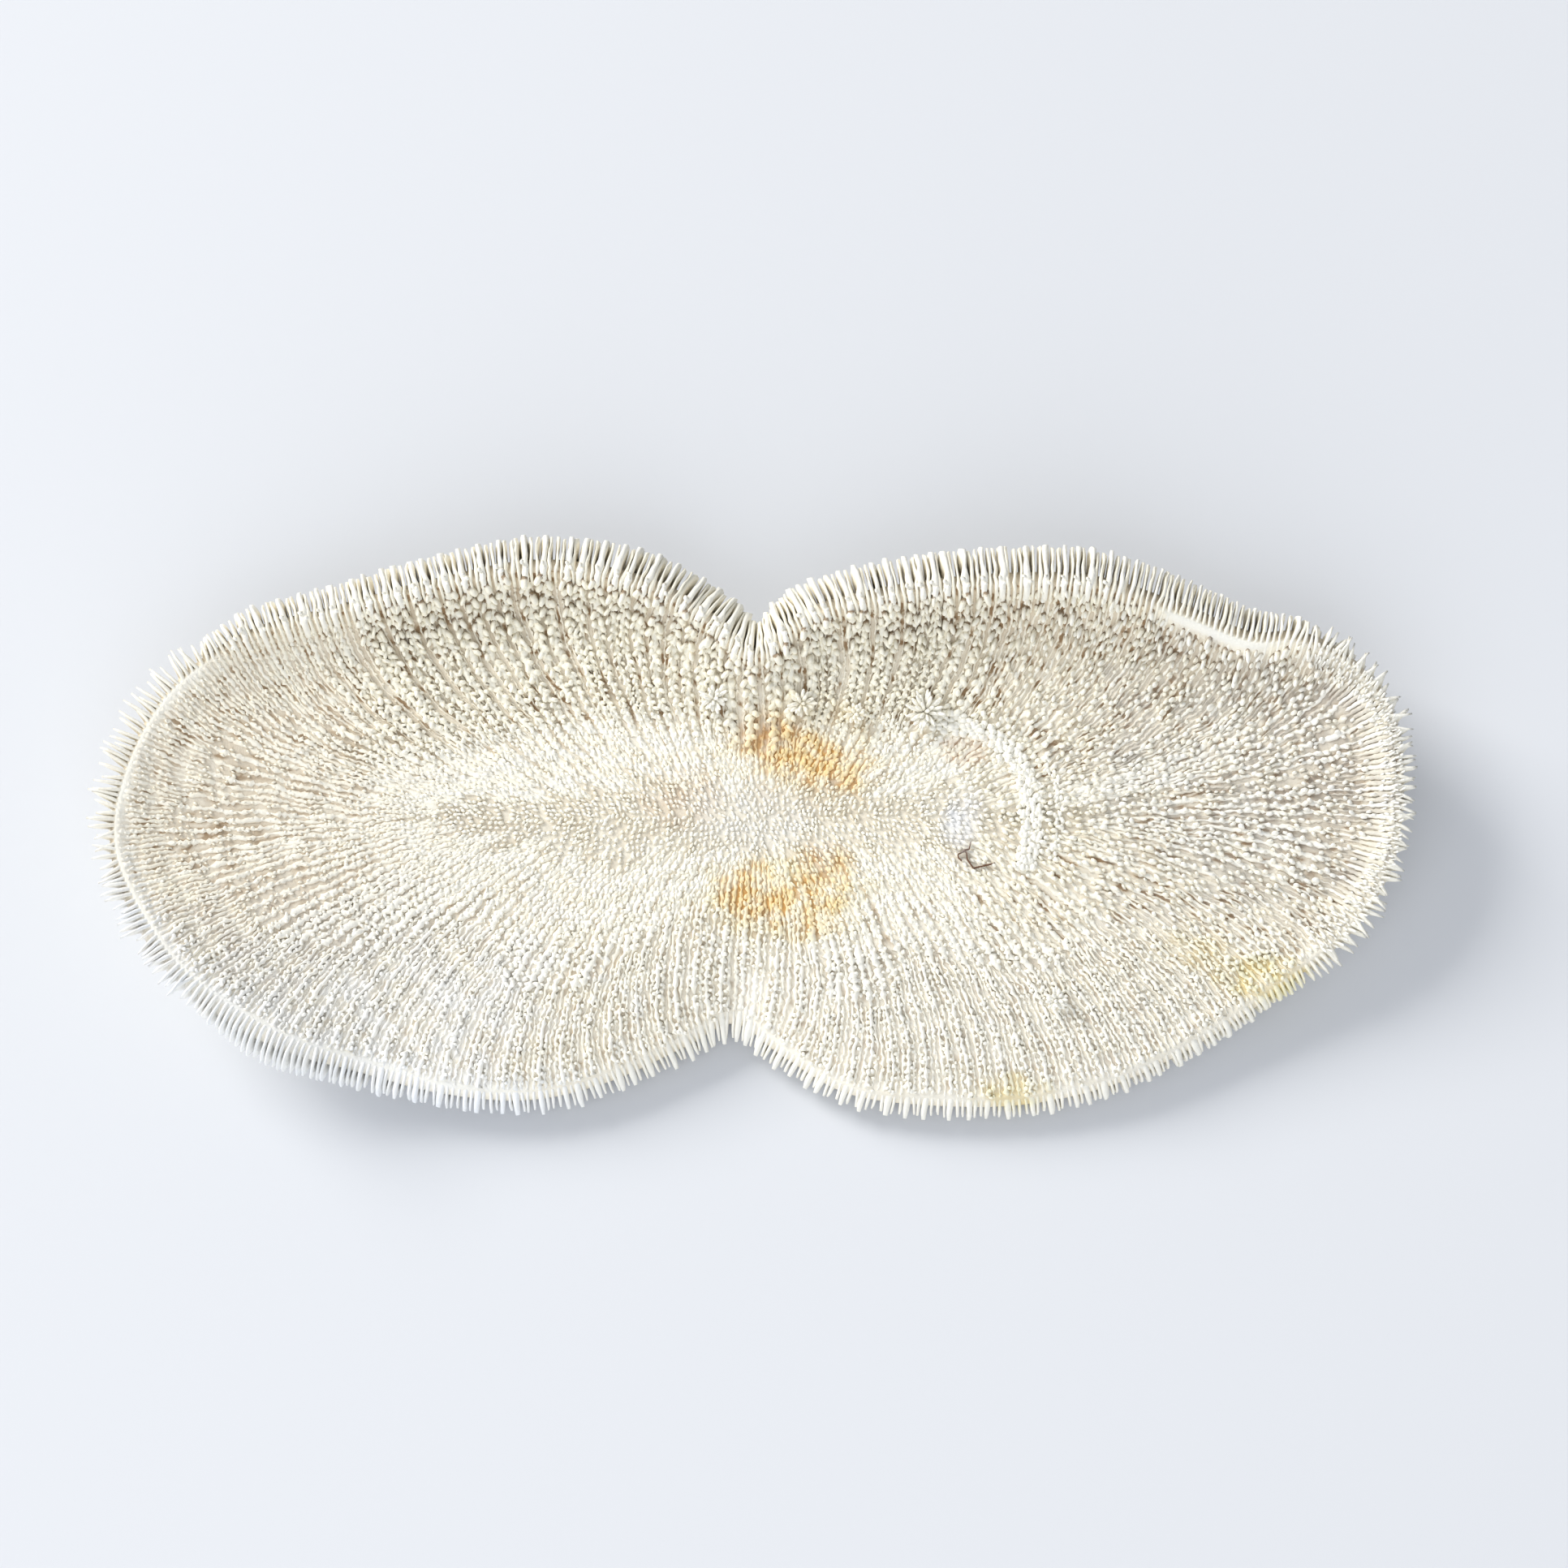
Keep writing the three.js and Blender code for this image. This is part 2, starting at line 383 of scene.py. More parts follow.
s_fine = np.linspace(0, 1, 101)
fine_places = np.stack([wall_at(all_ribs, s)[0] for s in s_fine])
growth_order = np.argsort(chance.uniform(size=rib_count) - is_main)
rib_start = np.ones(rib_count)
growing = np.zeros(rib_count, bool)
for s, places in zip(s_fine[first_ring:], fine_places[first_ring:]):
    for rib in growth_order[~growing[growth_order]]:
        apart = np.linalg.norm(places[growing] - places[rib], axis=1)
        if apart.size == 0 or apart.min() > row_gap:
            growing[rib] = True
            rib_start[rib] = s
print("ribs that begin at the start line:", int((rib_start < 0.05).sum()))

# %% Measure the room that each rib has
least_room, most_room = 0.8, 2.4  # mm, for any rib
least_main_room, most_main_room = 1.3, 3.2  # mm, for a main rib between two main ribs

room = np.full((101, rib_count), row_gap)
for step, places in enumerate(fine_places):
    there = np.flatnonzero(rib_start <= s_fine[step])
    if len(there) > 2:
        to_next = np.linalg.norm(places[there] - places[np.roll(there, -1)], axis=1)
        room[step, there] = np.clip((to_next + np.roll(to_next, 1)) / 2, least_room, most_room)
main_room = np.empty((101, rib_count))
for step, places in enumerate(fine_places):
    there = np.flatnonzero(is_main & (rib_start <= max(s_fine[step], 0.1)))
    to_next = np.linalg.norm(places[there] - places[np.roll(there, -1)], axis=1)
    between = (to_next + np.roll(to_next, 1)) / 2
    main_room[step] = np.interp(np.arange(rib_count), there, between)
main_room = main_room.clip(least_main_room, most_main_room)
print("room for a rib halfway, in mm:", room[50].min().round(2), "to", room[50].max().round(2))
print("room for a main rib halfway:", main_room[50].min().round(2), "to", main_room[50].max().round(2))

# %% [markdown]
# ## Parts of the rim
# The rim isn't the same all round. It is steep with long pegs on the far side, fine and pointed at both
# ends, and light in front, where its blades get painted light down to their roots. At the near left it is
# whiter, with a painted bluish shade. Where the wall's edge shows, it is a bright smooth line, and along
# the right end the ribs have grown together. Each part gets a value from 0 to 1, which fades out at its
# ends, so that no border shows.

# %% Name the parts of the rim
def far_rim(ribs):
    """1 along the far rim, where the wall stands steep and carries long pegs, and 0 elsewhere."""
    return smoothstep(math.radians(40), math.radians(58), ribs.slope) * smoothstep(0, 0.5, ribs.out[:, 1])


def end_rim(ribs):
    """1 round both ends of the coral, where the fringe is fine and pointed."""
    return smoothstep(84, 100, np.abs(ribs.end[:, 0]))


def near_side(ribs):
    """1 along the near side, where the fringe gets painted light down to its foot, lifting the shade there.
    """
    return smoothstep(0, -0.6, ribs.out[:, 1])


def cool_side(ribs):
    """1 along the near left rim, which is whiter and gets a painted bluish shade."""
    return smoothstep(-15, -50, ribs.end[:, 0]) * smoothstep(0, -22, ribs.end[:, 1])


def bright_line(ribs):
    """1 where a bright smooth line runs along the rim: at the left end and the top right. Less in front."""
    left = smoothstep(-90, -98, ribs.end[:, 0])
    top_right = smoothstep(66, 72, ribs.end[:, 0]) * smoothstep(15, 23, ribs.end[:, 1])
    top_right = top_right * (1 - 0.6 * smoothstep(84, 92, ribs.end[:, 0]))
    return np.maximum.reduce([left, top_right, 0.9 * cool_side(ribs), 0.4 * near_side(ribs)])


def right_band(ribs, s):
    """1 in the band along the right end, where the ribs have grown together into a smooth white rim."""
    return smoothstep(96, 106, ribs.end[:, 0]) * smoothstep(0.84, 0.93, s)


def painted_far_shade(ribs, s):
    """How much painted shade, in brown, lies at the foot of the far rim."""
    return 0.25 * far_rim(ribs) * smoothstep(0.65, 0.9, s)


def coolness(ribs, s):
    """How much painted bluish shade the end of a rib gets."""
    return 0.8 * cool_side(ribs) * smoothstep(0.9, 0.98, s)


print("ribs on the far rim:", int((far_rim(all_ribs) > 0.5).sum()))
print("ribs at the two ends:", int((end_rim(all_ribs) > 0.5).sum()))

# %% [markdown]
# ## Five regions of the face
# The ribs don't look the same all over. On the near side they are strong ridges with knobs on their
# flanks. On the far side they are chains of pegs. Over the right lobe the pegs stand apart like little
# clubs, in the middle the grains have grown together, and at the left end the rows are low and fine. Each
# region has a weight from 0 to 1 on the net of fine places, and any size is a mix of its five values.

# %% Weigh the regions
fine_x, fine_y = fine_places[..., 0], fine_places[..., 1]
fine_share = np.repeat(s_fine[:, None], rib_count, axis=1)
left_end = smoothstep(-60, -82, fine_x) * smoothstep(-26, -12, fine_y)
club_lobe = smoothstep(30, 48, fine_x) * smoothstep(-30, -14, fine_y) * (1 - left_end)
rest_of_face = (1 - left_end) * (1 - club_lobe)
grown_middle = smoothstep(0.5, 0.25, fine_share) * rest_of_face
far_chains = smoothstep(0.1, 0.5, all_ribs.out[:, 1]) * smoothstep(0.3, 0.5, fine_share) * rest_of_face
near_ridges = 1 - left_end - club_lobe - grown_middle - far_chains


def mix(near, far, club, middle, left):
    """One value for each region, mixed by their weights at every fine place."""
    return (near * near_ridges + far * far_chains + club * club_lobe
            + middle * grown_middle + left * left_end)


def at_place(net, index, s):
    """Reads a net of fine places on the given ribs, at shares along them."""
    return net[np.rint(np.asarray(s) * 100).astype(int), index]


def main_or_thin(main_net, thin_net):
    return np.where(is_main, main_net, thin_net)


# Some patches of the face are better grown than others. This is 1 in them and 0 between.
well_grown = np.clip(0.5 + 0.5 * slow_waves(1.7 * fine_x, 1.7 * fine_y, 4.0), 0, 1)

for name, net in (("near", near_ridges), ("far", far_chains), ("club", club_lobe), ("middle", grown_middle)):
    print(name, "covers", round(float(net.mean() * 100)), "% of the net")

# %% [markdown]
# ## Places that the photo shows
# Scars, stains and clusters are given by a pixel of the photo. Every point of a fine net on the face is
# projected into the picture, and the one that lands nearest gives the rib and how far along it. Grains
# stand lower on a scar, and none stands where a star, the fused ridge or the brown curl has to show.

# %% Find a pixel's place on the face
face_pixels = to_pixel(to_frame(fine_places.reshape(-1, 3)))


def on_face(pixel):
    """The rib, and the share along it, that the photo shows at a pixel."""
    nearest = np.argmin(((face_pixels - np.array(pixel)) ** 2).sum(axis=1))
    return nearest % rib_count, nearest // rib_count / 100


def pixel_place(pixel):
    """The place on the face, in mm, that the photo shows at a pixel."""
    rib, s = on_face(pixel)
    return fine_places[round(s * 100), rib]


print("points of the face in the picture:", len(face_pixels))

# %% List the scars and the cleared places
# pixel in the photo, half sizes in mm, and how much lower the grains are there
smooth_patches = [
    ((925, 1010), (11, 7), 0.55),  # a chalky scar in the middle
    ((925, 1228), (3, 5), 0.75),  # a smooth cream patch over the near notch
    ((1184, 1008), (3, 4), 0.6),
]
patch_places = [pixel_place(pixel) for pixel, _, _ in smooth_patches]

# pixel in the photo, and the radius of the star in mm
star_pixels = [
    ((1140, 880), 4.4), ((882, 862), 3.2), ((985, 868), 3.2), ((1052, 880), 2.6), ((1300, 1232), 2.6),
]
ridge_pixels = [(1150, 885), (1185, 893), (1225, 910), (1255, 938), (1270, 975), (1272, 1020), (1262, 1070)]
curl_pixels = [
    (1195, 1041), (1193, 1047), (1187, 1050), (1190, 1054), (1191, 1061),
    (1200, 1070), (1208, 1071), (1216, 1068), (1225, 1066),
]
curl_loop_pixels = [(1189, 1049), (1179, 1054), (1179, 1059), (1185, 1063)]

# pixel in the photo, and how far from it in mm no grain stands
cleared_pixels = [(pixel, 0.7 * radius) for pixel, radius in star_pixels]
cleared_pixels += [(pixel, 0.8) for pixel in ridge_pixels]
cleared_pixels += [(pixel, 0.5) for pixel in curl_pixels + curl_loop_pixels]
print("scars:", len(smooth_patches), "and cleared places:", len(cleared_pixels))


# %% Weigh how high and how white the coral is at each place
def relief(places):
    """How high grains and ribs stand at each place, as a share of their full height."""
    height = np.ones(len(places))
    for middle, (_, half_sizes, lower) in zip(patch_places, smooth_patches):
        off = (places[:, :2] - middle[:2]) / half_sizes
        away = np.hypot(off[:, 0], off[:, 1])
        height = height * (1 - lower * (1 - smoothstep(0.6, 1.2, away)))
    return height


def ring_number(s, around):
    """Counts the growth rings outwards from the start line, as the rings of a tree."""
    return s * 9 + 0.5 * np.sin(around * 25) + 0.35 * np.sin(around * 61 + 2)


def paleness(index, s):
    """How white the coral is: in the middle, in rings round it, and along the right end."""
    ribs = all_ribs.pick(index)
    rings = 0.5 + 0.5 * np.sin(2 * math.pi * ring_number(s, ribs.around))
    near = at_place(near_ridges, index, s)
    rim = np.maximum(cool_side(ribs), 0.8 * bright_line(ribs)) * smoothstep(0.88, 0.97, s)
    middle = 0.55 * at_place(grown_middle, index, s) * (0.5 + rings)
    return np.clip(middle + 0.25 * rings + 0.5 * near + right_band(ribs, s) + rim, 0, 1)


print("how white the middle is:", paleness(np.arange(rib_count), np.full(rib_count, 0.2)).mean().round(2))

# %% [markdown]
# ## Tints
# Colour on the coral goes by place: gaps are dark and tips are light. A painted image would blur that, so
# each point carries numbers of its own, and the material reads them. crest is how much of a tip it is,
# white how bleached, and brown how dirty; on the far rim and at the roots of the blades brown is painted
# shade as well. cool is how much painted bluish shade a point gets, as sky-lit shade on the near left rim,
# and hidden is 1 on the mouth side, where the stains of the face don't reach.

# %% Helpers that tint a mesh and finish a piece
def tint(mesh, tints):
    """Gives each point of a mesh a number for each tint."""
    for tint_name, values in tints.items():
        layer = mesh.attributes.new(tint_name, "FLOAT", "POINT")
        layer.data.foreach_set("value", np.asarray(values, float))


def round_off(piece):
    """Turns all faces outwards, shades them smooth and counts the triangles."""
    bpy.ops.object.select_all(action="DESELECT")
    bpy.context.view_layer.objects.active = piece
    piece.select_set(True)
    bpy.ops.object.mode_set(mode="EDIT")
    bpy.ops.mesh.select_all(action="SELECT")
    bpy.ops.mesh.normals_make_consistent(inside=False)
    bpy.ops.object.mode_set(mode="OBJECT")
    bpy.ops.object.shade_smooth()
    bpy.ops.object.select_all(action="DESELECT")
    piece.data.calc_loop_triangles()
    print(piece.name, "has", len(piece.data.loop_triangles), "triangles")


def finish_piece(name, points, faces, **tints):
    """Makes a piece from points in mm, faces and tints. No point stands outside the solid's box."""
    mesh = bpy.data.meshes.new(name)
    low, high = coral_low + [0.03, 0.03, 0], coral_high - 0.03
    inside_solid = np.clip(to_frame(points) * 1000, low, high) / 1000
    mesh.from_pydata(inside_solid.tolist(), [], faces)
    tint(mesh, tints)
    piece = bpy.data.objects.new(name, mesh)
    bpy.context.collection.objects.link(piece)
    round_off(piece)
    return piece


# %% [markdown]
# ## The wall
# The wall is one closed sheet: up over the ribbed face, round the rim and back under the blades. It could
# be pulled out of a ball, but its points have to lie on the ribs. So a grid is added, its two ends are
# merged into a ring, and every point is put at its place by the maths above. That leaves a hole at each
# end of the sheet, over and under the start line, and a face fills each.

# %% Shape the relief of the wall
wall_columns = 512
ring_rise = 0.35  # mm, the step from one growth ring to the next
left_line_height, right_line_height = 0.05, 0.3  # mm, of the bright line above the wall
face_shares = np.concatenate([[0.012, 0.035], np.linspace(0.06, 0.94, 46), [0.955, 0.97, 0.985, 1.0]])
lip_turns = [(0.08, 0.06), (0.12, 0.2), (0.06, 0.34), (-0.3, 0.38)]  # shares of reach and depth
under_shares = np.array([0.93, 0.85, 0.7, 0.5, 0.3, 0.15, 0.05, 0.012])


def growth_rings(s, around):
    """Low steps that run round the start line."""
    from_edge = np.abs((ring_number(s, around) % 1) - 0.5)
    return ring_rise * (0.5 - from_edge) * smoothstep(0.05, 0.2, s)


def ring_dip(s, around):
    """1 along the edge of each growth ring, where ridges and grains are lower."""
    from_edge = np.abs((ring_number(s, around) + 0.5) % 1 - 0.5)
    return smoothstep(0.22, 0.0, from_edge) * smoothstep(0.1, 0.25, s)


def line_height(ribs, s):
    """The bright line just inside the rim."""
    height = np.where(ribs.end[:, 0] > 0, right_line_height, left_line_height)
    return height * bright_line(ribs) * smoothstep(0.95, 0.99, s)


ring_count = len(face_shares) + len(lip_turns) + len(under_shares)
print("rings of the wall:", ring_count)

# %% Add the grid and find which rib and ring each point belongs to
bpy.ops.object.select_all(action="DESELECT")
bpy.ops.mesh.primitive_grid_add(x_subdivisions=wall_columns, y_subdivisions=ring_count - 1, size=1)
wall = bpy.context.object
wall.name = "wall"
grid_places = np.empty(len(wall.data.vertices) * 3)
wall.data.vertices.foreach_get("co", grid_places)
grid_places = grid_places.reshape(-1, 3)
column = np.rint((grid_places[:, 0] + 0.5) * wall_columns).astype(int) % wall_columns
ring = np.rint((grid_places[:, 1] + 0.5) * (ring_count - 1)).astype(int)
share = np.concatenate([face_shares, np.ones(len(lip_turns)), under_shares])[ring]
column_ribs = Ribs(column / wall_columns)
on_top = ring < len(face_shares)
on_lip = ~on_top & (ring < len(face_shares) + len(lip_turns))
print("points of the wall:", len(grid_places), "of which on the face:", int(on_top.sum()))

# %% Put every point of the wall at its place
rim_thickness = column_ribs.depth * 0.3
place, normal, forward = wall_at(column_ribs, share)
thick = wall_thickness + (rim_thickness - wall_thickness) * smoothstep(0.7, 1, share)
lift = np.where(on_top, growth_rings(share, column_ribs.around) + line_height(column_ribs, share), -thick)
wall_points = wander(place + normal * lift[:, None], share)
lip_shares = np.array(lip_turns)[np.clip(ring - len(face_shares), 0, len(lip_turns) - 1)]
# On the near side the wall reaches a little out between the blades, so the gaps there are light.
in_front = near_side(column_ribs)
lip_shares = lip_shares + in_front[:, None] * np.array([0.22, 0.12])
wall_points[on_lip] = rim_place(column_ribs, lip_shares[:, 0], lip_shares[:, 1])[on_lip]
wall.data.vertices.foreach_set("co", to_frame(wall_points).ravel())
print("the wall's top is at", wall_points[:, 2].max().round(1), "mm")

# %% Tint the wall
# Dark grime lies between the ribs in short dashes, each two or three rings of the wall long. At the foot
# of the far rim painted shade, in the same brown, is added to it.
wall_dash_share = 0.15
dash_starts = spread(0, 1, (ring_count, wall_columns)) < wall_dash_share
dashes = (dash_starts | np.roll(dash_starts, 1, axis=0)) * spread(0.5, 1, (ring_count, wall_columns))
dirty = mix(0.6, 1.0, 1.0, 0.7, 1.0) * (0.2 + 0.8 * smoothstep(0.12, 0.3, fine_share))
line_tint = bright_line(column_ribs) * smoothstep(0.95, 0.985, share) * on_top
dirt_and_shade = np.maximum(dashes[ring, column] * at_place(dirty, column, share), painted_far_shade(column_ribs, share))
dirt_and_shade_on_face = dirt_and_shade * (1 - line_tint)
# On the near side the lip between the blades is painted white too: painted light in the gaps there.
wall_white = np.maximum.reduce([line_tint, paleness(column, share) * on_top, 0.9 * in_front * on_lip])
tint(wall.data, {"crest": line_tint, "white": wall_white, "brown": np.where(on_top, dirt_and_shade_on_face, 0.1),
                 "hidden": ~on_top & ~on_lip})
print("wall points with dirt:", int((dirt_and_shade_on_face > 0.4).sum()))

# %% Close the wall
bpy.ops.object.mode_set(mode="EDIT")
bpy.ops.mesh.select_mode(type="VERT")
bpy.ops.mesh.select_all(action="SELECT")
bpy.ops.mesh.remove_doubles(threshold=1e-7)
bpy.ops.mesh.select_all(action="SELECT")
bpy.ops.mesh.fill_holes(sides=0)
bpy.ops.object.mode_set(mode="OBJECT")
round_off(wall)

# %% [markdown]
# ## Ridges
# Each rib is a low ridge with a crinkled back. A strip with five points across is laid along it, from
# where the rib starts to the rim, and every stop has its own width, height and shift. A bevelled curve
# would be even all along, and this has to be rough. Dark grime sits at the foot of the ridges, in short
# dashes, and on the far rim their feet get painted shade as well. In the right band the ridges are wide
# and of one height, so they meet in a smooth rim.

# %% Find the stops along each rib
def stops_on_ribs(gap, unevenness, early):
    """Stops along every rib, from its start to the rim.

    gap is the net of distances between them in mm, unevenness how far each is off its place, and early
    how far before the rib's start the first one may be, both in stops.
    """
    end_margin = 0.25  # mm, kept free at the rim
    indexes, shares, numbers = [], [], []
    for rib in growth_order:
        steps = np.linalg.norm(np.diff(fine_places[:, rib], axis=0), axis=1)
        walked = np.concatenate([[0], np.cumsum(steps)])
        counted = np.concatenate([[0], np.cumsum(steps / gap[1:, rib])])
        begin = np.interp(rib_start[rib], s_fine, counted) - early
        number = np.arange(math.ceil(counted[-1] - begin) + 1)
        stops = begin + 0.5 + number + chance.normal(0, unevenness, len(number))
        inside = stops < np.interp(walked[-1] - end_margin, walked, counted)
        indexes.append(np.full(inside.sum(), rib))
        shares.append(np.interp(stops[inside], counted, s_fine).clip(0.002, 1))
        numbers.append(number[inside])
    return np.concatenate(indexes), np.concatenate(shares), np.concatenate(numbers)


ridge_gap = np.full((101, rib_count), 0.56)  # mm
ridge_rib, ridge_share, _ = stops_on_ribs(ridge_gap, 0.1, 0.0)
ridge_from = spread(0.07, 0.18, rib_count)
past_middle = ridge_share > ridge_from[ridge_rib]
ridge_rib, ridge_share = ridge_rib[past_middle], ridge_share[past_middle]
print("stops of all ridges:", len(ridge_rib))

# %% Size the ridges in each region
# Half widths and heights in mm, by regions: near, far, clubs, middle and left end
main_ridge_width = mix(0.44 * room, 0.23 * main_room, 0.30 * room, 0.40 * room, np.minimum(0.44 * room, 0.5))
thin_ridge_width = mix(0.30 * room, 0.20 * room, 0.26 * room, 0.38 * room, np.minimum(0.42 * room, 0.46))
ridge_width = main_or_thin(main_ridge_width, thin_ridge_width).clip(0.18, 0.7)
fused_height = 0.55  # in the right band
ridge_height = main_or_thin(mix(0.78, 1.00, 0.32, 0.25, 0.3), mix(0.45, 0.32, 0.26, 0.22, 0.27))
ridge_height = ridge_height * (0.75 + 0.5 * well_grown)
ridge_unevenness = main_or_thin(mix(0.38, 0.26, 0.26, 0.28, 0.34), mix(0.42, 0.3, 0.28, 0.28, 0.36))
ridge_breaks = main_or_thin(mix(0.08, 0.04, 0.1, 0.1, 0.18), mix(0.14, 0.1, 0.1, 0.1, 0.2))
dash_share = mix(0.18, 0.26, 0.5, 0.45, 0.4)
thin_crest = mix(0.9, 0.45, 0.5, 1.0, 0.9)  # how light the backs of thin ribs are
rib_white = mix(0.8, 0.4, 0.75, 0.5, 0.7)


def ridge_size(index, ribs, s, places):
    """Half the width of a ridge, and its height above the wall."""
    height = at_place(ridge_height, index, s) * relief(places) * (1 - 0.45 * ring_dip(s, ribs.around))
    height = height * (1 - 0.5 * bright_line(ribs) * smoothstep(0.95, 0.99, s))
    half_width = at_place(ridge_width, index, s)
    in_band = right_band(ribs, s)
    half_width = half_width + (0.5 * at_place(room, index, s) - half_width) * in_band
    return half_width, height + (fused_height - height) * in_band


print("ridges are up to", ridge_height.max().round(2), "mm high")

# %% Lay the ridges
# Each of the five points across, by shares of half the width and of the height, and how light it is
ridge_lanes = np.array([(-1.0, -0.3), (-0.74, 0.66), (0.0, 1.0), (0.74, 0.66), (1.0, -0.3)])
lane_light = np.array([0.1, 0.72, 0.95, 0.72, 0.1])
foot_depth = 0.3  # mm, of which the two outer points go down by their share


def ridge_piece(name, chosen):
    """The ridges through the chosen stops."""
    index, s = ridge_rib[chosen], ridge_share[chosen]
    ribs = all_ribs.pick(index)
    count = len(s)
    place, normal, forward = wall_at(ribs, s)
    side = np.cross(forward, normal)
    starts = index != np.roll(index, 1)
    ends = index != np.roll(index, -1)
    half_width, height = ridge_size(index, ribs, s, place)
    in_band = right_band(ribs, s)
    uneven = at_place(ridge_unevenness, index, s) * (1 - 0.6 * in_band)
    bead = uneven * (np.where(np.arange(count) % 2 == 0, 0.7, -0.7) + spread(-1, 1, count))
    breaks = at_place(ridge_breaks, index, s) * (1 - in_band)
    broken = np.where(starts | (spread(0, 1, count) < breaks), 0.4, 1)
    half_width = half_width * (1 + bead) * broken
    height = height * (1 + 0.8 * bead) * broken
    middle = wander(place + side * (0.45 * uneven * spread(-1, 1, count))[:, None], s)
    middle = middle + normal * growth_rings(s, ribs.around)[:, None]
    across = side[:, None, :] * (half_width[:, None] * ridge_lanes[None, :, 0])[:, :, None]
    rise = np.where(ridge_lanes[None, :, 1] < 0, foot_depth, height[:, None]) * ridge_lanes[None, :, 1]
    upward = normal[:, None, :] * rise[:, :, None]
    points = (middle[:, None, :] + across + upward).reshape(-1, 3)
    joined = np.flatnonzero(~ends)[:, None] * 5
    lane, next_lane = np.arange(5), (np.arange(5) + 1) % 5
    sides = np.stack([joined + lane, joined + next_lane, joined + 5 + next_lane, joined + 5 + lane], axis=-1)
    caps = np.flatnonzero(starts | ends)[:, None] * 5 + lane
    in_dash = np.repeat(spread(0, 1, count // 2 + 1), 2)[:count] < at_place(dash_share, index, s)
    ridge_dashes = in_dash * spread(0.6, 1.0, count)
    # On the far rim the feet of the ridges get painted shade as well.
    shaded = painted_far_shade(ribs, s)
    dirt_and_shade = np.zeros((count, 5))
    dirt_and_shade[:, 0] = np.maximum(ridge_dashes, shaded)
    dirt_and_shade[:, 4] = np.maximum(np.roll(ridge_dashes, count // 3), shaded)
    own_white = at_place(rib_white, index, s) * np.where(is_main[index], 1, 0.3)
    pale = np.maximum(paleness(index, s), own_white * spread(0.6, 1.3, count))
    light = np.where(is_main[index], 1.0, at_place(thin_crest, index, s))[:, None] * lane_light
    return finish_piece(name, points, sides.reshape(-1, 4).tolist() + caps.tolist(),
                        crest=light.ravel(), white=np.repeat(np.clip(pale, 0, 1), 5),
                        brown=dirt_and_shade.ravel(), cool=np.repeat(coolness(ribs, s), 5))


stop_is_right = all_ribs.end[ridge_rib, 0] > 0
ridges_right = ridge_piece("ridges_right", np.flatnonzero(stop_is_right))
ridges_left = ridge_piece("ridges_left", np.flatnonzero(~stop_is_right))

# %% [markdown]
# ## One grain and one peg
# Ribs carry rows of blunt grains. A small ball is added, its lower half is taken off, its open edge is
# pulled down into the wall, and a face closes it. Stretched upwards it makes a peg, and stretched along a
# rib it makes a bead of the row. Thousands are needed, so it has few faces. The large pegs start from a
# ball with a few more, so that their ends look round.

# %% Model the grain
def grain_form(segments, rings):
    """The points and faces of one grain: a dome of radius 1 on a straight foot, closed below."""
    bpy.ops.object.select_all(action="DESELECT")
    bpy.ops.mesh.primitive_uv_sphere_add(segments=segments, ring_count=rings, radius=1)
    form = bpy.context.object
    for element in (*form.data.edges, *form.data.polygons):
        element.select = False
    for vertex in form.data.vertices:
        vertex.select = vertex.co.z < -0.1
    bpy.ops.object.mode_set(mode="EDIT")
    bpy.ops.mesh.select_mode(type="VERT")
    bpy.ops.mesh.delete(type="VERT")
    bpy.ops.mesh.select_non_manifold()
    bpy.ops.transform.translate(value=(0, 0, -0.9))
    bpy.ops.mesh.edge_face_add()
    bpy.ops.object.mode_set(mode="OBJECT")
    points = np.array([vertex.co[:] for vertex in form.data.vertices])
    faces = [tuple(face.vertices) for face in form.data.polygons]
    bpy.data.objects.remove(form)
    print("a grain has", len(points), "points and", len(faces), "faces")
    return points, faces


small_grain = grain_form(5, 4)
large_peg = grain_form(6, 6)


def stamp(form, places, across, along, up):
    """Copies a grain to many places. across, along and up are its scaled directions at each place."""
    form_points, form_faces = form
    points = (places[:, None, :]
              + form_points[None, :, 0, None] * across[:, None, :]
              + form_points[None, :, 1, None] * along[:, None, :]
              + form_points[None, :, 2, None] * up[:, None, :])
    step = np.arange(len(places)) * len(form_points)
    faces = []
    for corners in form_faces:
        faces.extend((np.array(corners)[None, :] + step[:, None]).tolist())
    return points.reshape(-1, 3), faces


# %% [markdown]
# ## Grains and pegs on every rib
# On the near side small grains sit left and right on the flanks of the strong ridges. On the far side
# large pegs follow each other down the rib, to the left and right in turn. Loose grains fill the long
# middle and the channels where no rib has started yet. A grain that would stand too close to one that is
# already there is left out, and so are some on worn patches, on the bright line and in the right band.

# %% A helper that keeps grains apart
def keep_apart(places, least):
    """The places to keep, taken in their order, so that none is closer to another than its least distance."""
    cell_size = 1.6
    cells = {}
    kept = []
    for number, (x, y, z) in enumerate(places.tolist()):
        column_x, column_y = int(x // cell_size), int(y // cell_size)
        clear = True
        for near_x in (column_x - 1, column_x, column_x + 1):
            for near_y in (column_y - 1, column_y, column_y + 1):
                for ox, oy, oz in cells.get((near_x, near_y), ()):
                    if (x - ox) ** 2 + (y - oy) ** 2 + (z - oz) ** 2 < least[number] ** 2:
                        clear = False
        if clear:
            cells.setdefault((column_x, column_y), []).append((x, y, z))
            kept.append(number)
    return np.array(kept)


print("of two grains 0.5 mm apart, kept:", len(keep_apart(np.array([(0, 0, 0), (0.5, 0, 0)]), [1, 1])))

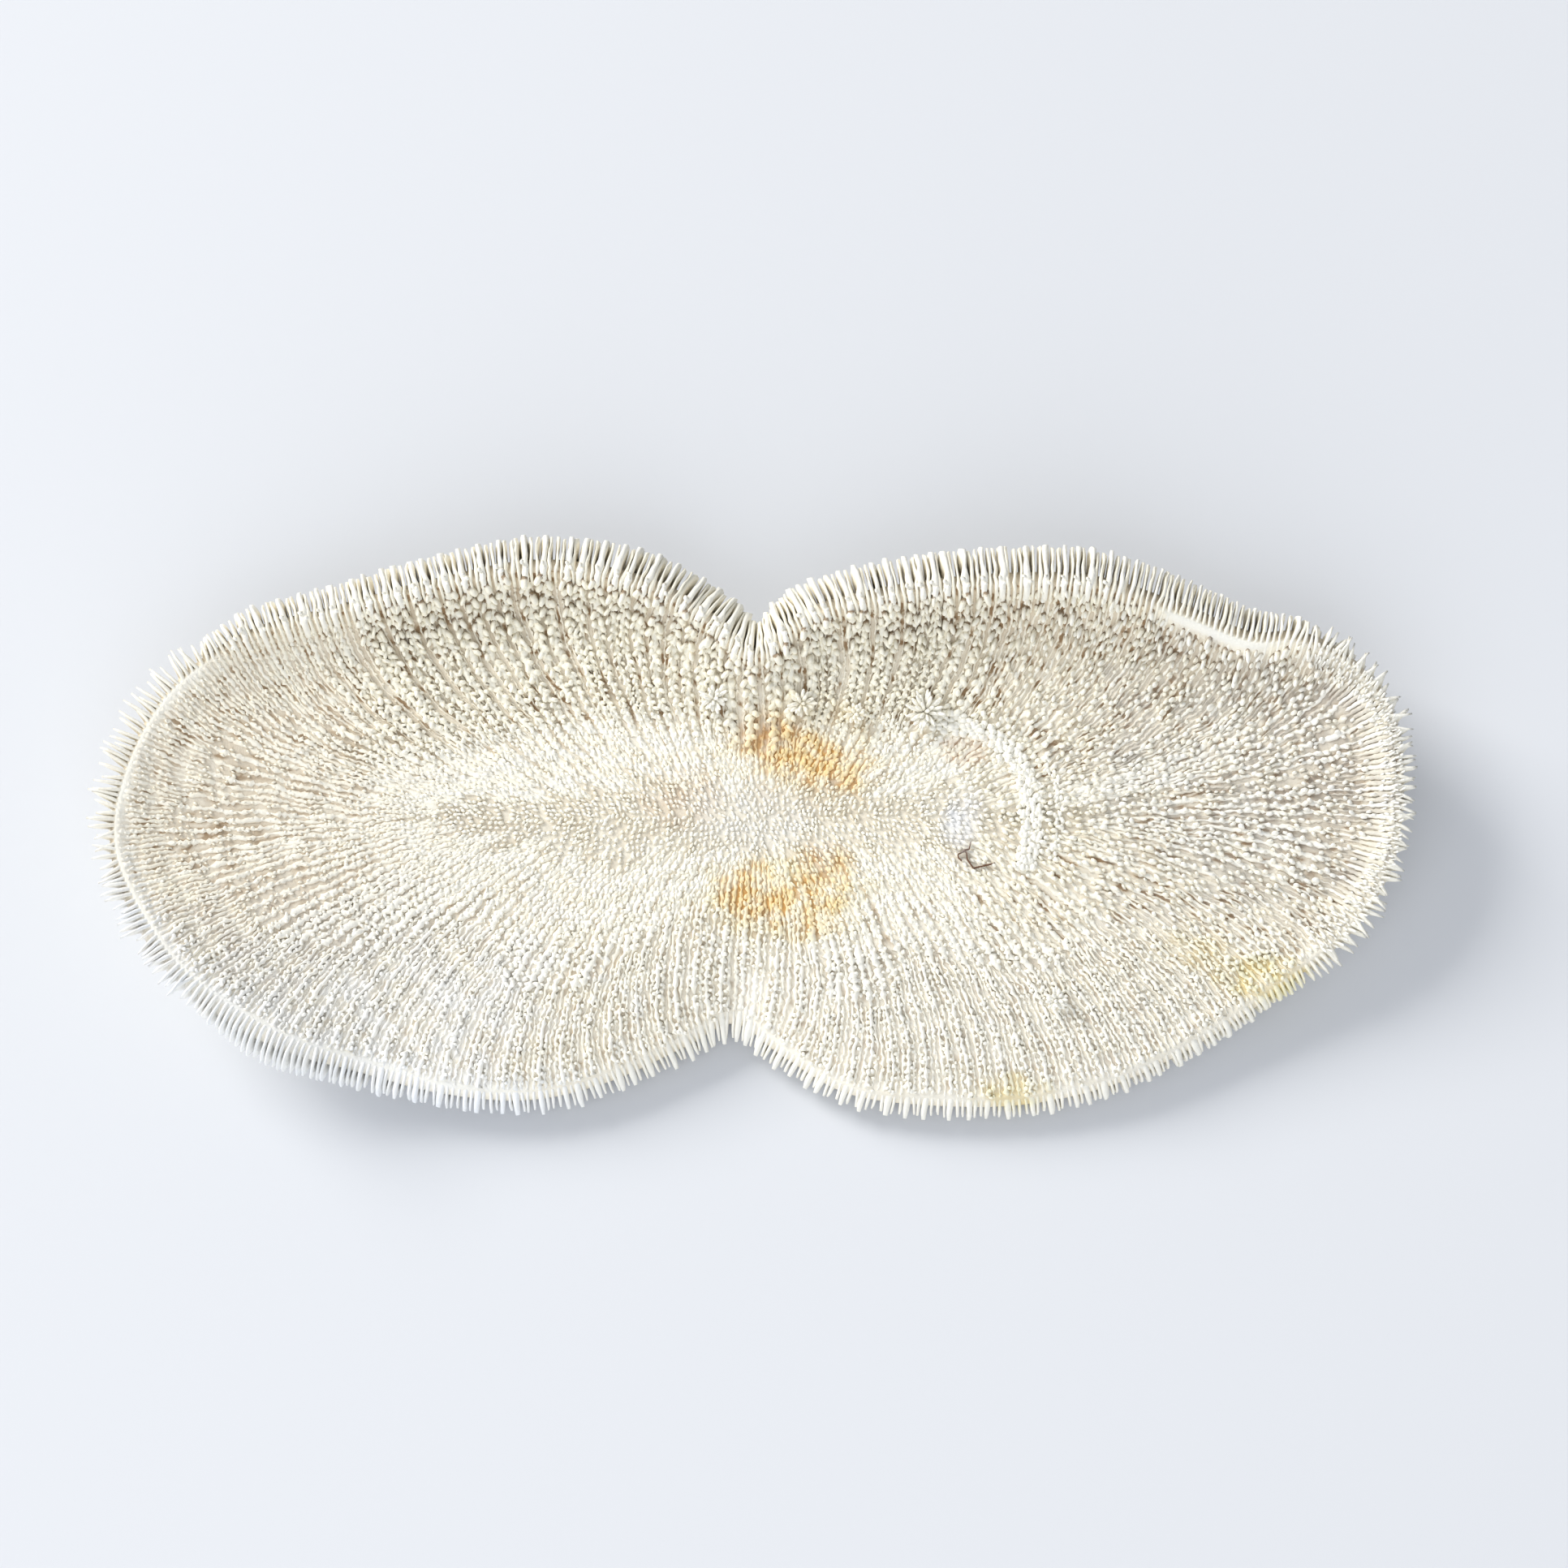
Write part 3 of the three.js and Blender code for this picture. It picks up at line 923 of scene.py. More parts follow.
# %% Find a place for every grain
grain_gap = main_or_thin(mix(0.64, 0.34 * main_room, 1.3, 0.9, 0.85), mix(0.95, 1.2, 1.35, 0.9, 0.85))
grain_swing = main_or_thin(mix(0.48, 0.15 * main_room, 0.2, 0.2, 0.16), mix(0.14, 0.1, 0.2, 0.2, 0.14))
grain_room = main_or_thin(mix(0.56, 0.27 * main_room, 0.98, 0.66, 0.72), mix(0.74, 0.9, 0.98, 0.66, 0.72))
loose_room = mix(0.8, 0.9, 1.0, 0.66, 0.76)

row_rib, row_share, row_number = stops_on_ribs(grain_gap, 0.22, 0.4)
loose_count = 90000
loose_rib = chance.integers(0, rib_count, loose_count)
loose_share = spread(0.005, 0.97, loose_count)
is_loose = loose_share < rib_start[loose_rib]
grain_rib = np.concatenate([row_rib, loose_rib[is_loose]])
grain_share = np.concatenate([row_share, loose_share[is_loose]])
in_row = np.arange(len(grain_rib)) < len(row_rib)
turn_about = np.concatenate([np.where(row_number % 2 == 0, 1.0, -1.0), np.ones(is_loose.sum())])
grain_ribs = all_ribs.pick(grain_rib)
place, normal, forward = wall_at(grain_ribs, grain_share)
swing = at_place(grain_swing, grain_rib, grain_share) * in_row
grain_shift = turn_about * swing * spread(0.5, 1.3, len(grain_rib))
grain_place = place + np.cross(forward, normal) * grain_shift[:, None]
least_apart = np.where(in_row, at_place(grain_room, grain_rib, grain_share),
                       at_place(loose_room, grain_rib, grain_share))
kept = keep_apart(grain_place, least_apart)
print("grains with room:", len(kept))

# %% Leave out lost grains and clear the scars
kept_rib, kept_share = grain_rib[kept], grain_share[kept]
kept_ribs = all_ribs.pick(kept_rib)
lost = 0.05 + 0.35 * (1 - at_place(well_grown, kept_rib, kept_share))
lost = lost * (1 - at_place(far_chains + 0.7 * grown_middle + 0.5 * club_lobe, kept_rib, kept_share))
lost = lost + 0.85 * right_band(kept_ribs, kept_share) + 0.15 * at_place(left_end, kept_rib, kept_share)
lost = lost + bright_line(kept_ribs) * smoothstep(0.965, 0.985, kept_share)
kept = kept[spread(0, 1, len(kept)) > lost]
scar_places = np.array([pixel_place(pixel) for pixel, _ in cleared_pixels])
scar_sizes = np.array([size for _, size in cleared_pixels])
from_scars = np.linalg.norm(grain_place[kept][:, None, :2] - scar_places[None, :, :2], axis=2)
kept = kept[(from_scars > scar_sizes).all(axis=1)]
grain_rib, grain_share, grain_shift, in_row = (v[kept] for v in (grain_rib, grain_share, grain_shift, in_row))
print("grains in rows:", int(in_row.sum()), "and loose:", int((~in_row).sum()))


# %% Size, lean and join the grains
grain_across = main_or_thin(mix(0.40, 0.18 * main_room, 0.40, 0.34, 0.28), mix(0.28, 0.27, 0.36, 0.33, 0.27))
grain_along = main_or_thin(mix(0.36, 0.25 * main_room, 0.60, 0.56, 0.42), mix(0.40, 0.34, 0.54, 0.56, 0.42))
grain_tall = main_or_thin(mix(0.42, 0.75, 0.90, 0.25, 0.22), mix(0.2, 0.2, 0.65, 0.24, 0.18))
grain_lean = mix(0.0, 0.45, 0.3, 0.0, 0.0)
grain_slant = mix(0.2, 0.65, 0.0, 0.0, 0.0)  # how far a grain is turned to follow the zig-zag of its row


def grain_piece(name, form, chosen):
    """The chosen grains, each a copy of the form."""
    index, rowed = grain_rib[chosen], in_row[chosen]
    ribs = all_ribs.pick(index)
    s = grain_share[chosen]
    count = len(s)
    place, normal, forward = wall_at(ribs, s)
    side = np.cross(forward, normal)
    peg = far_rim(ribs) * smoothstep(0.6, 0.9, s)
    right_end = smoothstep(98, 106, ribs.end[:, 0]) * smoothstep(0.85, 0.95, s)
    half_width, height = ridge_size(index, ribs, s, place)
    tall = at_place(grain_tall, index, s) * relief(place) * (1 - 0.4 * ring_dip(s, ribs.around))
    tall = tall * (1 + np.where(is_main[index], 1.1, 0.8) * peg) * spread(0.6, 1.4, count)
    across_size = at_place(grain_across, index, s) * spread(0.75, 1.25, count) * np.where(rowed, 1, 0.95)
    along_size = at_place(grain_along, index, s) * spread(0.75, 1.4, count)
    slant = at_place(grain_slant, index, s) * np.sign(grain_shift[chosen])
    turn = slant + spread(-0.4, 0.4, count) * np.where(rowed, 1, 1.8)
    turned = side * np.cos(turn)[:, None] + forward * np.sin(turn)[:, None]
    outward = 1.1 * grain_shift[chosen]
    inward = at_place(grain_lean, index, s) + 0.5 * peg - 1.3 * right_end
    lean = (forward * (spread(-0.25, 0.25, count) - inward)[:, None]
            + side * (spread(-0.25, 0.25, count) + outward)[:, None])
    up = unit(normal + lean)
    along = unit(np.cross(up, turned))
    across = np.cross(along, up)
    on_ridge = rowed & (s > ridge_from[index])
    down_flank = np.clip(1 - 0.6 * np.abs(grain_shift[chosen]) / half_width, 0.3, 1)
    base = np.where(on_ridge, height * down_flank, 0.3) + growth_rings(s, ribs.around) - 0.35
    half = np.maximum(tall + 0.35, 0.3) / 1.9
    foot = wander(place + side * grain_shift[chosen][:, None] + normal * base[:, None], s)
    foot = foot + up * (0.9 * half)[:, None]
    points, faces = stamp(form, foot, across * across_size[:, None], along * along_size[:, None],
                          up * half[:, None])
    rise = smoothstep(-0.9, 0.7, form[0][:, 2])
    own_white = at_place(rib_white, index, s) * np.where(is_main[index] & rowed, 1, 0.4)
    pale = np.maximum(paleness(index, s), own_white * spread(0.4, 1.4, count))
    thin_lit = np.maximum(at_place(thin_crest, index, s), at_place(club_lobe, index, s))
    lit = np.where(is_main[index], 1, thin_lit)
    # On the far rim the lower part of each peg is painted brown: painted shade under the pegs.
    return finish_piece(name, points, faces, crest=((0.45 + 0.55 * rise) * lit[:, None]).ravel(),
                        white=np.repeat(np.clip(pale, 0, 1), len(form[0])),
                        brown=(0.9 * peg[:, None] * (1 - rise)).ravel(),
                        cool=np.repeat(coolness(ribs, s), len(form[0])))


on_right = all_ribs.end[grain_rib, 0] > 0
is_large = at_place(grain_across, grain_rib, grain_share) * in_row > 0.35
pegs_right = grain_piece("pegs_right", large_peg, np.flatnonzero(on_right & is_large))
pegs_left = grain_piece("pegs_left", large_peg, np.flatnonzero(~on_right & is_large))
grains_right = grain_piece("grains_right", small_grain, np.flatnonzero(on_right & ~is_large))
grains_left = grain_piece("grains_left", small_grain, np.flatnonzero(~on_right & ~is_large))

# %% [markdown]
# ## Scars and clusters
# In a few places the coral has healed: pegs stand there in little white stars, and one fused white ridge
# bends round the right of the middle. A thin brown curl lies inside the bend. All are made of the same
# grain, set close together, so they look grown like the rest.

# %% Set the stars and the ridge
outer_pixels = [(1292, 930), (1304, 975), (1306, 1020), (1296, 1060)]


def along_pixels(pixels, apart):
    """Places on the face along a line through pixels, the given distance apart in pixels."""
    corners = np.array(pixels, float)
    walked = np.concatenate([[0], np.cumsum(np.linalg.norm(np.diff(corners, axis=0), axis=1))])
    stops = np.arange(0, walked[-1], apart)
    line = np.column_stack([np.interp(stops, walked, corners[:, axis]) for axis in (0, 1)])
    found = [on_face(pixel) for pixel in line]
    return np.array([rib for rib, _ in found]), np.array([s for _, s in found])


def star_pegs(pixel, radius):
    """Pegs that lean outwards from one point, the outer ones most."""
    count = int(7 * radius + 4)
    rib, s = on_face(pixel)
    place, normal, forward = (value[0] for value in wall_at(all_ribs.pick(np.array([rib])), s))
    side = np.cross(forward, normal)
    out = np.sqrt((np.arange(count) + 0.5) / count)
    angle = np.arange(count) * 2.4 + spread(-0.3, 0.3, count)
    way = side * np.cos(angle)[:, None] + forward * np.sin(angle)[:, None]
    up = unit(normal + way * (out * 1.9)[:, None])
    tall = radius * spread(0.6, 0.9, count)
    middles = place + normal * 1.2 + way * (out * radius * 0.28)[:, None]
    return middles, up, way, np.full(count, 0.4), np.full(count, 0.4), tall


def fused_pegs(pixels, offset, size):
    """Pegs that stand close together along a line."""
    rib, s = along_pixels(pixels, 3)
    place, normal, _ = wall_at(all_ribs.pick(rib), s)
    track = unit(np.gradient(place, axis=0))
    beside = unit(np.cross(normal, track))
    count = len(rib)
    up = unit(normal + beside * (offset * 0.8 + spread(-0.25, 0.25, count))[:, None])
    place = place + beside * (offset + spread(-0.6, 0.6, count))[:, None]
    size = size * spread(0.6, 1.15, count)
    return place, up, track, 0.6 * size, 0.8 * size, 1.5 * size


def healed_piece(name):
    """The stars, the fused ridge and the weaker line beside it."""
    parts = [star_pegs(*star) for star in star_pixels]
    parts += [fused_pegs(ridge_pixels, offset, 0.95) for offset in (-0.9, -0.3, 0.3, 0.9)]
    parts += [fused_pegs(outer_pixels, 0, 0.7)]
    places, ups, ways, wides, longs, talls = (np.concatenate(values) for values in zip(*parts))
    across = unit(np.cross(ways, ups))
    along = np.cross(ups, across)
    half = (talls / 1.9)[:, None]
    points, faces = stamp(large_peg, places + ups * half * 0.6, across * wides[:, None],
                          along * longs[:, None], ups * half)
    rise = smoothstep(-0.9, 0.6, large_peg[0][:, 2])
    return finish_piece(name, points, faces, crest=np.tile(0.6 + 0.4 * rise, len(places)),
                        white=np.ones(len(points)), brown=np.zeros(len(points)),
                        cool=np.zeros(len(points)))


healed_growth = healed_piece("healed_growth")


# %% Lay the brown curl
def through_pixels(pixels, apart):
    """Places on a line through pixels, with the way off the face and the way along the line."""
    corners = np.array([pixel_place(pixel) for pixel in pixels])
    walked = np.concatenate([[0], np.cumsum(np.linalg.norm(np.diff(corners, axis=0), axis=1))])
    stops = np.arange(0, walked[-1], apart * mm_per_pixel)
    place = np.column_stack([np.interp(stops, walked, corners[:, axis]) for axis in range(3)])
    rib, s = on_face(pixels[0])
    normal = wall_at(all_ribs.pick(np.array([rib])), s)[1]
    track = unit(np.gradient(place, axis=0))
    return place, np.repeat(normal, len(place), axis=0), track


def curl_piece(name):
    """A thin thread of small beads."""
    parts = []
    for pixels in (curl_pixels, curl_loop_pixels):
        place, normal, track = through_pixels(pixels, 2)
        parts.append((place + normal * 0.75, np.cross(normal, track) * 0.14, track * 0.26, normal * 0.3))
    points, faces = stamp(small_grain, *(np.concatenate(values) for values in zip(*parts)))
    return finish_piece(name, points, faces, crest=np.zeros(len(points)),
                        white=np.zeros(len(points)), brown=np.full(len(points), 2.0))


rusty_curl = curl_piece("rusty_curl")

# %% [markdown]
# ## Blades
# The blades are the thin upright plates on the mouth side. Only their ends show in the photo, as the
# fringe round the rim. Each one is a long closed strip on its rib: it hangs from the wall, with an uneven
# edge, and at the rim it swings out past the wall into a blunt tooth, or at both ends of the coral into a
# needle. Main blades are thick and white. Thin ones stand between them, a little shorter, so the gaps look
# deep. A plane with thickness would be the same all over, so the strips are drawn from six lanes of points.

# %% Shape the teeth, and helpers for the blades
# Each turn of the outline of a blunt tooth and of a needle, by shares of reach and depth
tooth_turns = [(0.15, 1.06), (0.6, 1.02), (0.9, 0.9), (0.98, 0.7), (0.94, 0.42), (0.72, 0.18), (0.35, 0.02)]
needle_turns = [(-0.1, 0.6), (0.15, 0.42), (0.6, 0.34), (1.2, 0.29), (1.75, 0.25), (1.3, 0.13), (0.55, 0.0)]
tip_taper = np.array([1.0, 0.9, 0.75, 0.62, 0.75, 1.0, 1.0])
needle_taper = np.array([1.0, 1.0, 0.95, 0.85, 0.6, 0.85, 1.0])


def slender(ribs):
    """1 where all blades are thin: at both ends, along the far right rim and along the near left one."""
    far_right = smoothstep(56, 66, ribs.end[:, 0]) * smoothstep(10, 20, ribs.end[:, 1])
    near_left = smoothstep(-62, -76, ribs.end[:, 0]) * smoothstep(-20, -30, ribs.end[:, 1])
    return np.maximum(end_rim(ribs), np.maximum(far_right, near_left))


def strip_faces(count, stations):
    """The faces of closed strips with six points round each station: their sides and both ends."""
    corner = (np.arange(count)[:, None, None] * stations + np.arange(stations - 1)[None, :, None]) * 6
    lane, next_lane = np.arange(6), (np.arange(6) + 1) % 6
    sides = np.stack([corner + lane, corner + next_lane, corner + 6 + next_lane, corner + 6 + lane], axis=-1)
    faces = sides.reshape(-1, 4).tolist()
    for end in (0, (stations - 1) * 6):
        first = np.arange(count) * stations * 6 + end
        faces.extend(np.stack([first, first + 1, first + 4, first + 5], axis=-1).tolist())
        faces.extend(np.stack([first + 1, first + 2, first + 3, first + 4], axis=-1).tolist())
    return faces


def blade_tints(ribs, stations, step_count, bright):
    """The tints of blades, whose first step_count stations are on the mouth side and the rest at the rim."""
    count = len(ribs.around)
    at_rim = np.tile(smoothstep(step_count - 4, step_count, np.arange(stations)), count)
    # Near the rim, at both ends, on the near left and along the near side, the blades are painted as light at
    # their roots as at their edges: painted light that lifts the shade between them.
    soft = np.maximum.reduce([end_rim(ribs), cool_side(ribs), 0.95 * near_side(ribs)])
    soft = (np.repeat(soft, stations) * at_rim)[:, None]
    light = (0.8 + 0.2 * bright) * np.array([0.15, 0.6, 1.0, 1.0, 0.6, 0.15])
    # Painted shade: the roots of the blades, deep between them, are browner, most on the far rim.
    dark = np.repeat(0.05 + 0.45 * far_rim(ribs), stations)[:, None] * np.array([1, 0.15, 0, 0, 0.15, 1])
    return {"crest": np.maximum(light, 0.8 * soft).ravel(),
            "white": np.repeat(np.maximum(bright, 0.9 * soft.ravel()), 6),
            "brown": (dark * (1 - soft)).ravel(),
            "cool": np.repeat(np.repeat(cool_side(ribs), stations) * at_rim, 6),
            "hidden": np.tile(np.repeat(np.arange(stations) < step_count, 6), count)}


print("blades that are slender:", int((slender(all_ribs) > 0.5).sum()))


# %% Make the blades
def blade_piece(name, index, first_share, step_count, thick, deep, length, bright):
    """Blades on the given ribs, from a share along the rib outwards.

    step_count is how many stations each has on the mouth side, thick its thickness in mm, deep and length
    its shares of the blades' depth and reach there, and bright how white it is.
    """
    ribs = all_ribs.pick(index)
    count = len(index)
    pointed = end_rim(ribs)
    thick = thick * (1 - 0.12 * smoothstep(0, -0.5, ribs.out[:, 1]))
    thick = thick + (0.62 - thick) * slender(ribs) * (1 - pointed) + (0.66 - thick) * pointed
    length = length + (0.95 - length) * slender(ribs)
    reach_share = length * (1 - spread(0, 0.14, count) - spread(0, 0.36, count) * pointed)
    depth_share = deep * spread(0.92, 1.0, count)
    plan_way = np.column_stack([-ribs.out[:, 1], ribs.out[:, 0], np.zeros(count)])
    sway = spread(-0.35, 0.35, count) * (1 + 1.2 * pointed)
    edges, roots, side_ways, widths = [], [], [], []
    first = first_share * spread(0.6, 1.3, count)
    for step in range(step_count):
        s = first + (1 - first) * step / (step_count - 1)
        place, normal, forward = wall_at(ribs, s)
        outwards = smoothstep(lip_outer, 1, s)
        depth = face_height + (ribs.depth - face_height) * outwards
        notch = 0.6 * (0.5 + 0.5 * np.cos(step * 2.1 + index * 1.7)) * spread(0.5, 1, count)
        shallow = 1 - 0.45 * pointed * smoothstep(0.8, 1, s)
        notch = notch * np.minimum(1, outwards * 8)
        depth = wall_thickness + (depth - wall_thickness) * depth_share * shallow - notch
        edge = place - normal * depth[:, None]
        edge[:, 2] = np.maximum(edge[:, 2], np.where(s > lip_outer, blade_ground, 0))
        if step == 0:
            edge = place - normal * (depth * 0.45)[:, None]
        side_way = np.cross(forward, normal)
        side_ways.append(side_way * np.sign((side_way * plan_way).sum(axis=1))[:, None])
        edges.append(wander(edge, s))
        roots.append(wander(place - normal * 0.6, s))
        widths.append(np.ones(count))
    uneven = 0.1 + 0.12 * far_rim(ribs)
    for turn, (blunt, needle) in enumerate(zip(tooth_turns, needle_turns)):
        reach, down = (blunt[axis] + (needle[axis] - blunt[axis]) * pointed for axis in (0, 1))
        swung = plan_way * (sway * reach + uneven * spread(-1, 1, count))[:, None]
        edges.append(rim_place(ribs, reach * reach_share, down * depth_share) + swung)
        roots.append(rim_place(ribs, -0.12, 0.34 - 0.04 * turn))
        side_ways.append(plan_way)
        taper = tip_taper[turn] + (needle_taper[turn] - tip_taper[turn]) * pointed
        widths.append(taper * (1 + 1.5 * uneven * spread(-1, 1, count)))
    for s, rise in ((1.0, 0.9), (0.975, 0.9), (0.95, 0.5)):
        place, normal, forward = wall_at(ribs, s)
        lobe = rise * (0.25 + 0.75 * far_rim(ribs)) * (1 - 0.7 * bright_line(ribs)) * length
        edges.append(place + normal * lobe[:, None])
        roots.append(place - normal * 0.7)
        side_ways.append(plan_way)
        widths.append(np.full(count, 0.9))

    edges, roots, side_ways = (np.stack(values, axis=1) for values in (edges, roots, side_ways))
    half = (thick / 2 * spread(0.85, 1.15, count))[:, None] * np.stack(widths, axis=1)
    across = side_ways * half[:, :, None]
    belly = edges * 0.72 + roots * 0.28
    loops = np.stack([roots + across, belly + across, edges + across * 0.72,
                      edges - across * 0.72, belly - across, roots - across], axis=2)
    stations = loops.shape[1]
    return finish_piece(name, loops.reshape(-1, 3), strip_faces(count, stations),
                        **blade_tints(ribs, stations, step_count, bright))


main_ribs = np.flatnonzero(is_main)
thin_ribs = np.flatnonzero(~is_main)
blades_main = blade_piece("blades_main", main_ribs, 0.055, 34, 1.2, 1.0, 0.98, 0.9)
blades_thin = blade_piece("blades_thin", thin_ribs, 0.35, 14, 0.62, 0.94, 0.86, 0.3)

# %% [markdown]
# ## The crust on the rim
# The blades don't end bare. On the far rim small knobs sit on the foot of each main blade, and the right
# end has a crust of white spikes that lean outwards. They are copies of the small grain, set in short
# rows across the rim, because the same knobs continue the rows of the face.

# %% Set the crust
far_crust = [(0.0, 0.0), (0.3, 0.02), (0.55, 0.1)]  # places on the rim, by shares of reach and depth
right_crust = [(-1.5, -0.07), (-1.1, -0.07), (-0.7, -0.06), (-0.3, -0.04), (0.1, 0.02)]


def rim_peg_piece(name):
    """A crust on the rim: knobs on the far blades, and white spikes on the right end."""
    far_ones = np.flatnonzero(is_main & (far_rim(all_ribs) > 0.3) & (slender(all_ribs) < 0.5))
    right_ones = np.flatnonzero(all_ribs.end[:, 0] > 96)
    parts = []
    for index, turns, size, tall, lean in ((far_ones, far_crust, 0.42, 0.6, -0.2),
                                           (right_ones, right_crust, 0.24, 2.4, 1.8)):
        ribs = all_ribs.pick(index)
        _, normal, forward = wall_at(ribs, 1.0)
        side = np.cross(forward, normal)
        count = len(index)
        for turn, (reach, down) in enumerate(turns):
            swing = (0.3 if turn % 2 else -0.3) + spread(-0.25, 0.25, count)
            up = unit(normal + forward * (lean + spread(-0.35, 0.35, count))[:, None]
                      + side * (0.9 * swing)[:, None])
            parts.append((rim_place(ribs, reach + 0.1 * spread(-1, 1, count), down) + side * swing[:, None],
                          up, side, size * spread(0.7, 1.3, count), size * spread(0.9, 1.5, count),
                          tall * spread(0.5, 1.2, count)))
    places, ups, sides, wides, longs, talls = (np.concatenate(values) for values in zip(*parts))
    along = unit(np.cross(ups, sides))
    across = np.cross(along, ups)
    half = (talls / 1.9)[:, None]
    points, faces = stamp(small_grain, places + ups * half * 0.3, across * wides[:, None],
                          along * longs[:, None], ups * half)
    rise = smoothstep(-0.9, 0.6, small_grain[0][:, 2])
    # All crust gets a little painted bluish shade.
    return finish_piece(name, points, faces, crest=np.tile(0.5 + 0.5 * rise, len(places)),
                        white=np.ones(len(points)), brown=np.zeros(len(points)),
                        cool=np.full(len(points), 0.25))


rim_pegs = rim_peg_piece("rim_pegs")

# %% [markdown]
# ## Old coral
# The finish is chalky and a little uneven. Deep gaps are tan, with dark streaks here and there, ribs are
# cream, and the tips of grains and blades are almost white: the pieces carry that as attributes of their
# own. On top come the stains that the photo shows, each a soft patch at its own place, broken up by noise.

# %% Helpers for writing shader maths
class Socket:
    """Wraps a node's output, so that +, - and * on values add Math nodes."""

    def __init__(self, maker, link):
        self.maker = maker
        self.link = link

    def _math(self, operation, first, second):
        return self.maker.node("ShaderNodeMath", {"operation": operation}, {0: first, 1: second})

    def __add__(self, other):
        return self._math("ADD", self, other)

    def __radd__(self, other):
        return self._math("ADD", other, self)

    def __sub__(self, other):
        return self._math("SUBTRACT", self, other)

    def __rsub__(self, other):
        return self._math("SUBTRACT", other, self)

    def __mul__(self, other):
        return self._math("MULTIPLY", self, other)

    def __rmul__(self, other):
        return self._math("MULTIPLY", other, self)


class Maker:
    """Adds nodes to one material."""

    def __init__(self, name):
        self.material = bpy.data.materials.new(name)
        self.material.use_nodes = True
        self.tree = self.material.node_tree
        self.surface = self.tree.nodes["Principled BSDF"]

    def node(self, kind, settings=None, values=None, output=0):
        """Adds a node, with its settings first and then the values or links of its sockets."""
        node = self.tree.nodes.new(kind)
        for name, value in (settings or {}).items():
            setattr(node, name, value)
        for socket, value in (values or {}).items():
            self.feed(node.inputs[socket], value)
        return Socket(self, node.outputs[output])

    def feed(self, socket, value):
        if isinstance(value, Socket):
            self.tree.links.new(value.link, socket)
        else:
            socket.default_value = value

    def blend(self, factor, first, second):
        """Mixes two colours."""
        mixed = self.tree.nodes.new("ShaderNodeMix")
        mixed.data_type = "RGBA"
        self.feed(mixed.inputs[0], factor)
        self.feed(mixed.inputs[6], first if isinstance(first, Socket) else (*first, 1))
        self.feed(mixed.inputs[7], second if isinstance(second, Socket) else (*second, 1))
        return Socket(self, mixed.outputs[2])

    def noise(self, places, scale, detail=3.0, rough=0.55):
        return self.node("ShaderNodeTexNoise", None,
                         {"Vector": places, "Scale": scale, "Detail": detail, "Roughness": rough})

    def step(self, low, high, value):
        """0 below low, 1 above high and smooth between."""
        return self.node("ShaderNodeMapRange", {"interpolation_type": "SMOOTHSTEP"},
                         {0: value, 1: low, 2: high, 3: 0.0, 4: 1.0})


# %% The chalky coral finish
coral = Maker("old_coral")
where = coral.node("ShaderNodeTexCoord", None, None, "Object")
tint_names = ("crest", "white", "brown", "cool", "hidden")
crest, white, brown, cool, hidden = (
    coral.node("ShaderNodeAttribute", {"attribute_name": tint_name}, None, "Fac") for tint_name in tint_names)
patches = coral.noise(where, 38.0)
speckle = coral.noise(where, 420.0, 3.0)
pores = coral.noise(where, 1900.0, 3.0, 0.65)

dirt_and_shade_colour = (0.40, 0.27, 0.14)
speck_colour = (0.27, 0.17, 0.09)
curl_colour = (0.19, 0.10, 0.06)
tan_gap = coral.blend(coral.step(0.4, 0.65, patches), (0.78, 0.705, 0.575), (0.85, 0.795, 0.68))
pale_gap = coral.blend(white, tan_gap, (0.90, 0.85, 0.73))
# brown carries dirt, and painted shade on the far rim and at the roots of the blades; where it is high, dark
# specks show too.
gap_colour = coral.blend(brown, pale_gap, dirt_and_shade_colour)
side_colour = coral.blend(coral.step(0.35, 0.7, speckle), (0.93, 0.87, 0.735), (0.97, 0.925, 0.81))
cream_tip = coral.blend(white, (0.98, 0.93, 0.77), (0.99, 0.965, 0.88))
# On the near left rim the tips turn bluish: painted shade, as if lit by the sky.
tip_colour = coral.blend(cool, cream_tip, (0.93, 0.955, 0.985))
low_part = coral.blend(coral.step(0.0, 0.5, crest + (pores - 0.5) * 0.5), gap_colour, side_colour)
upper_part = coral.blend(coral.step(0.45, 1.0, crest + (pores - 0.5) * 0.3), low_part, tip_colour)
specks = coral.step(0.5, 0.75, brown + (pores - 0.5) * 0.7)
speckled = coral.blend(specks * 0.85, upper_part, speck_colour)
body_colour = coral.blend(coral.step(1.2, 1.6, brown), speckled, curl_colour)
print("nodes of the plain finish:", len(coral.tree.nodes))

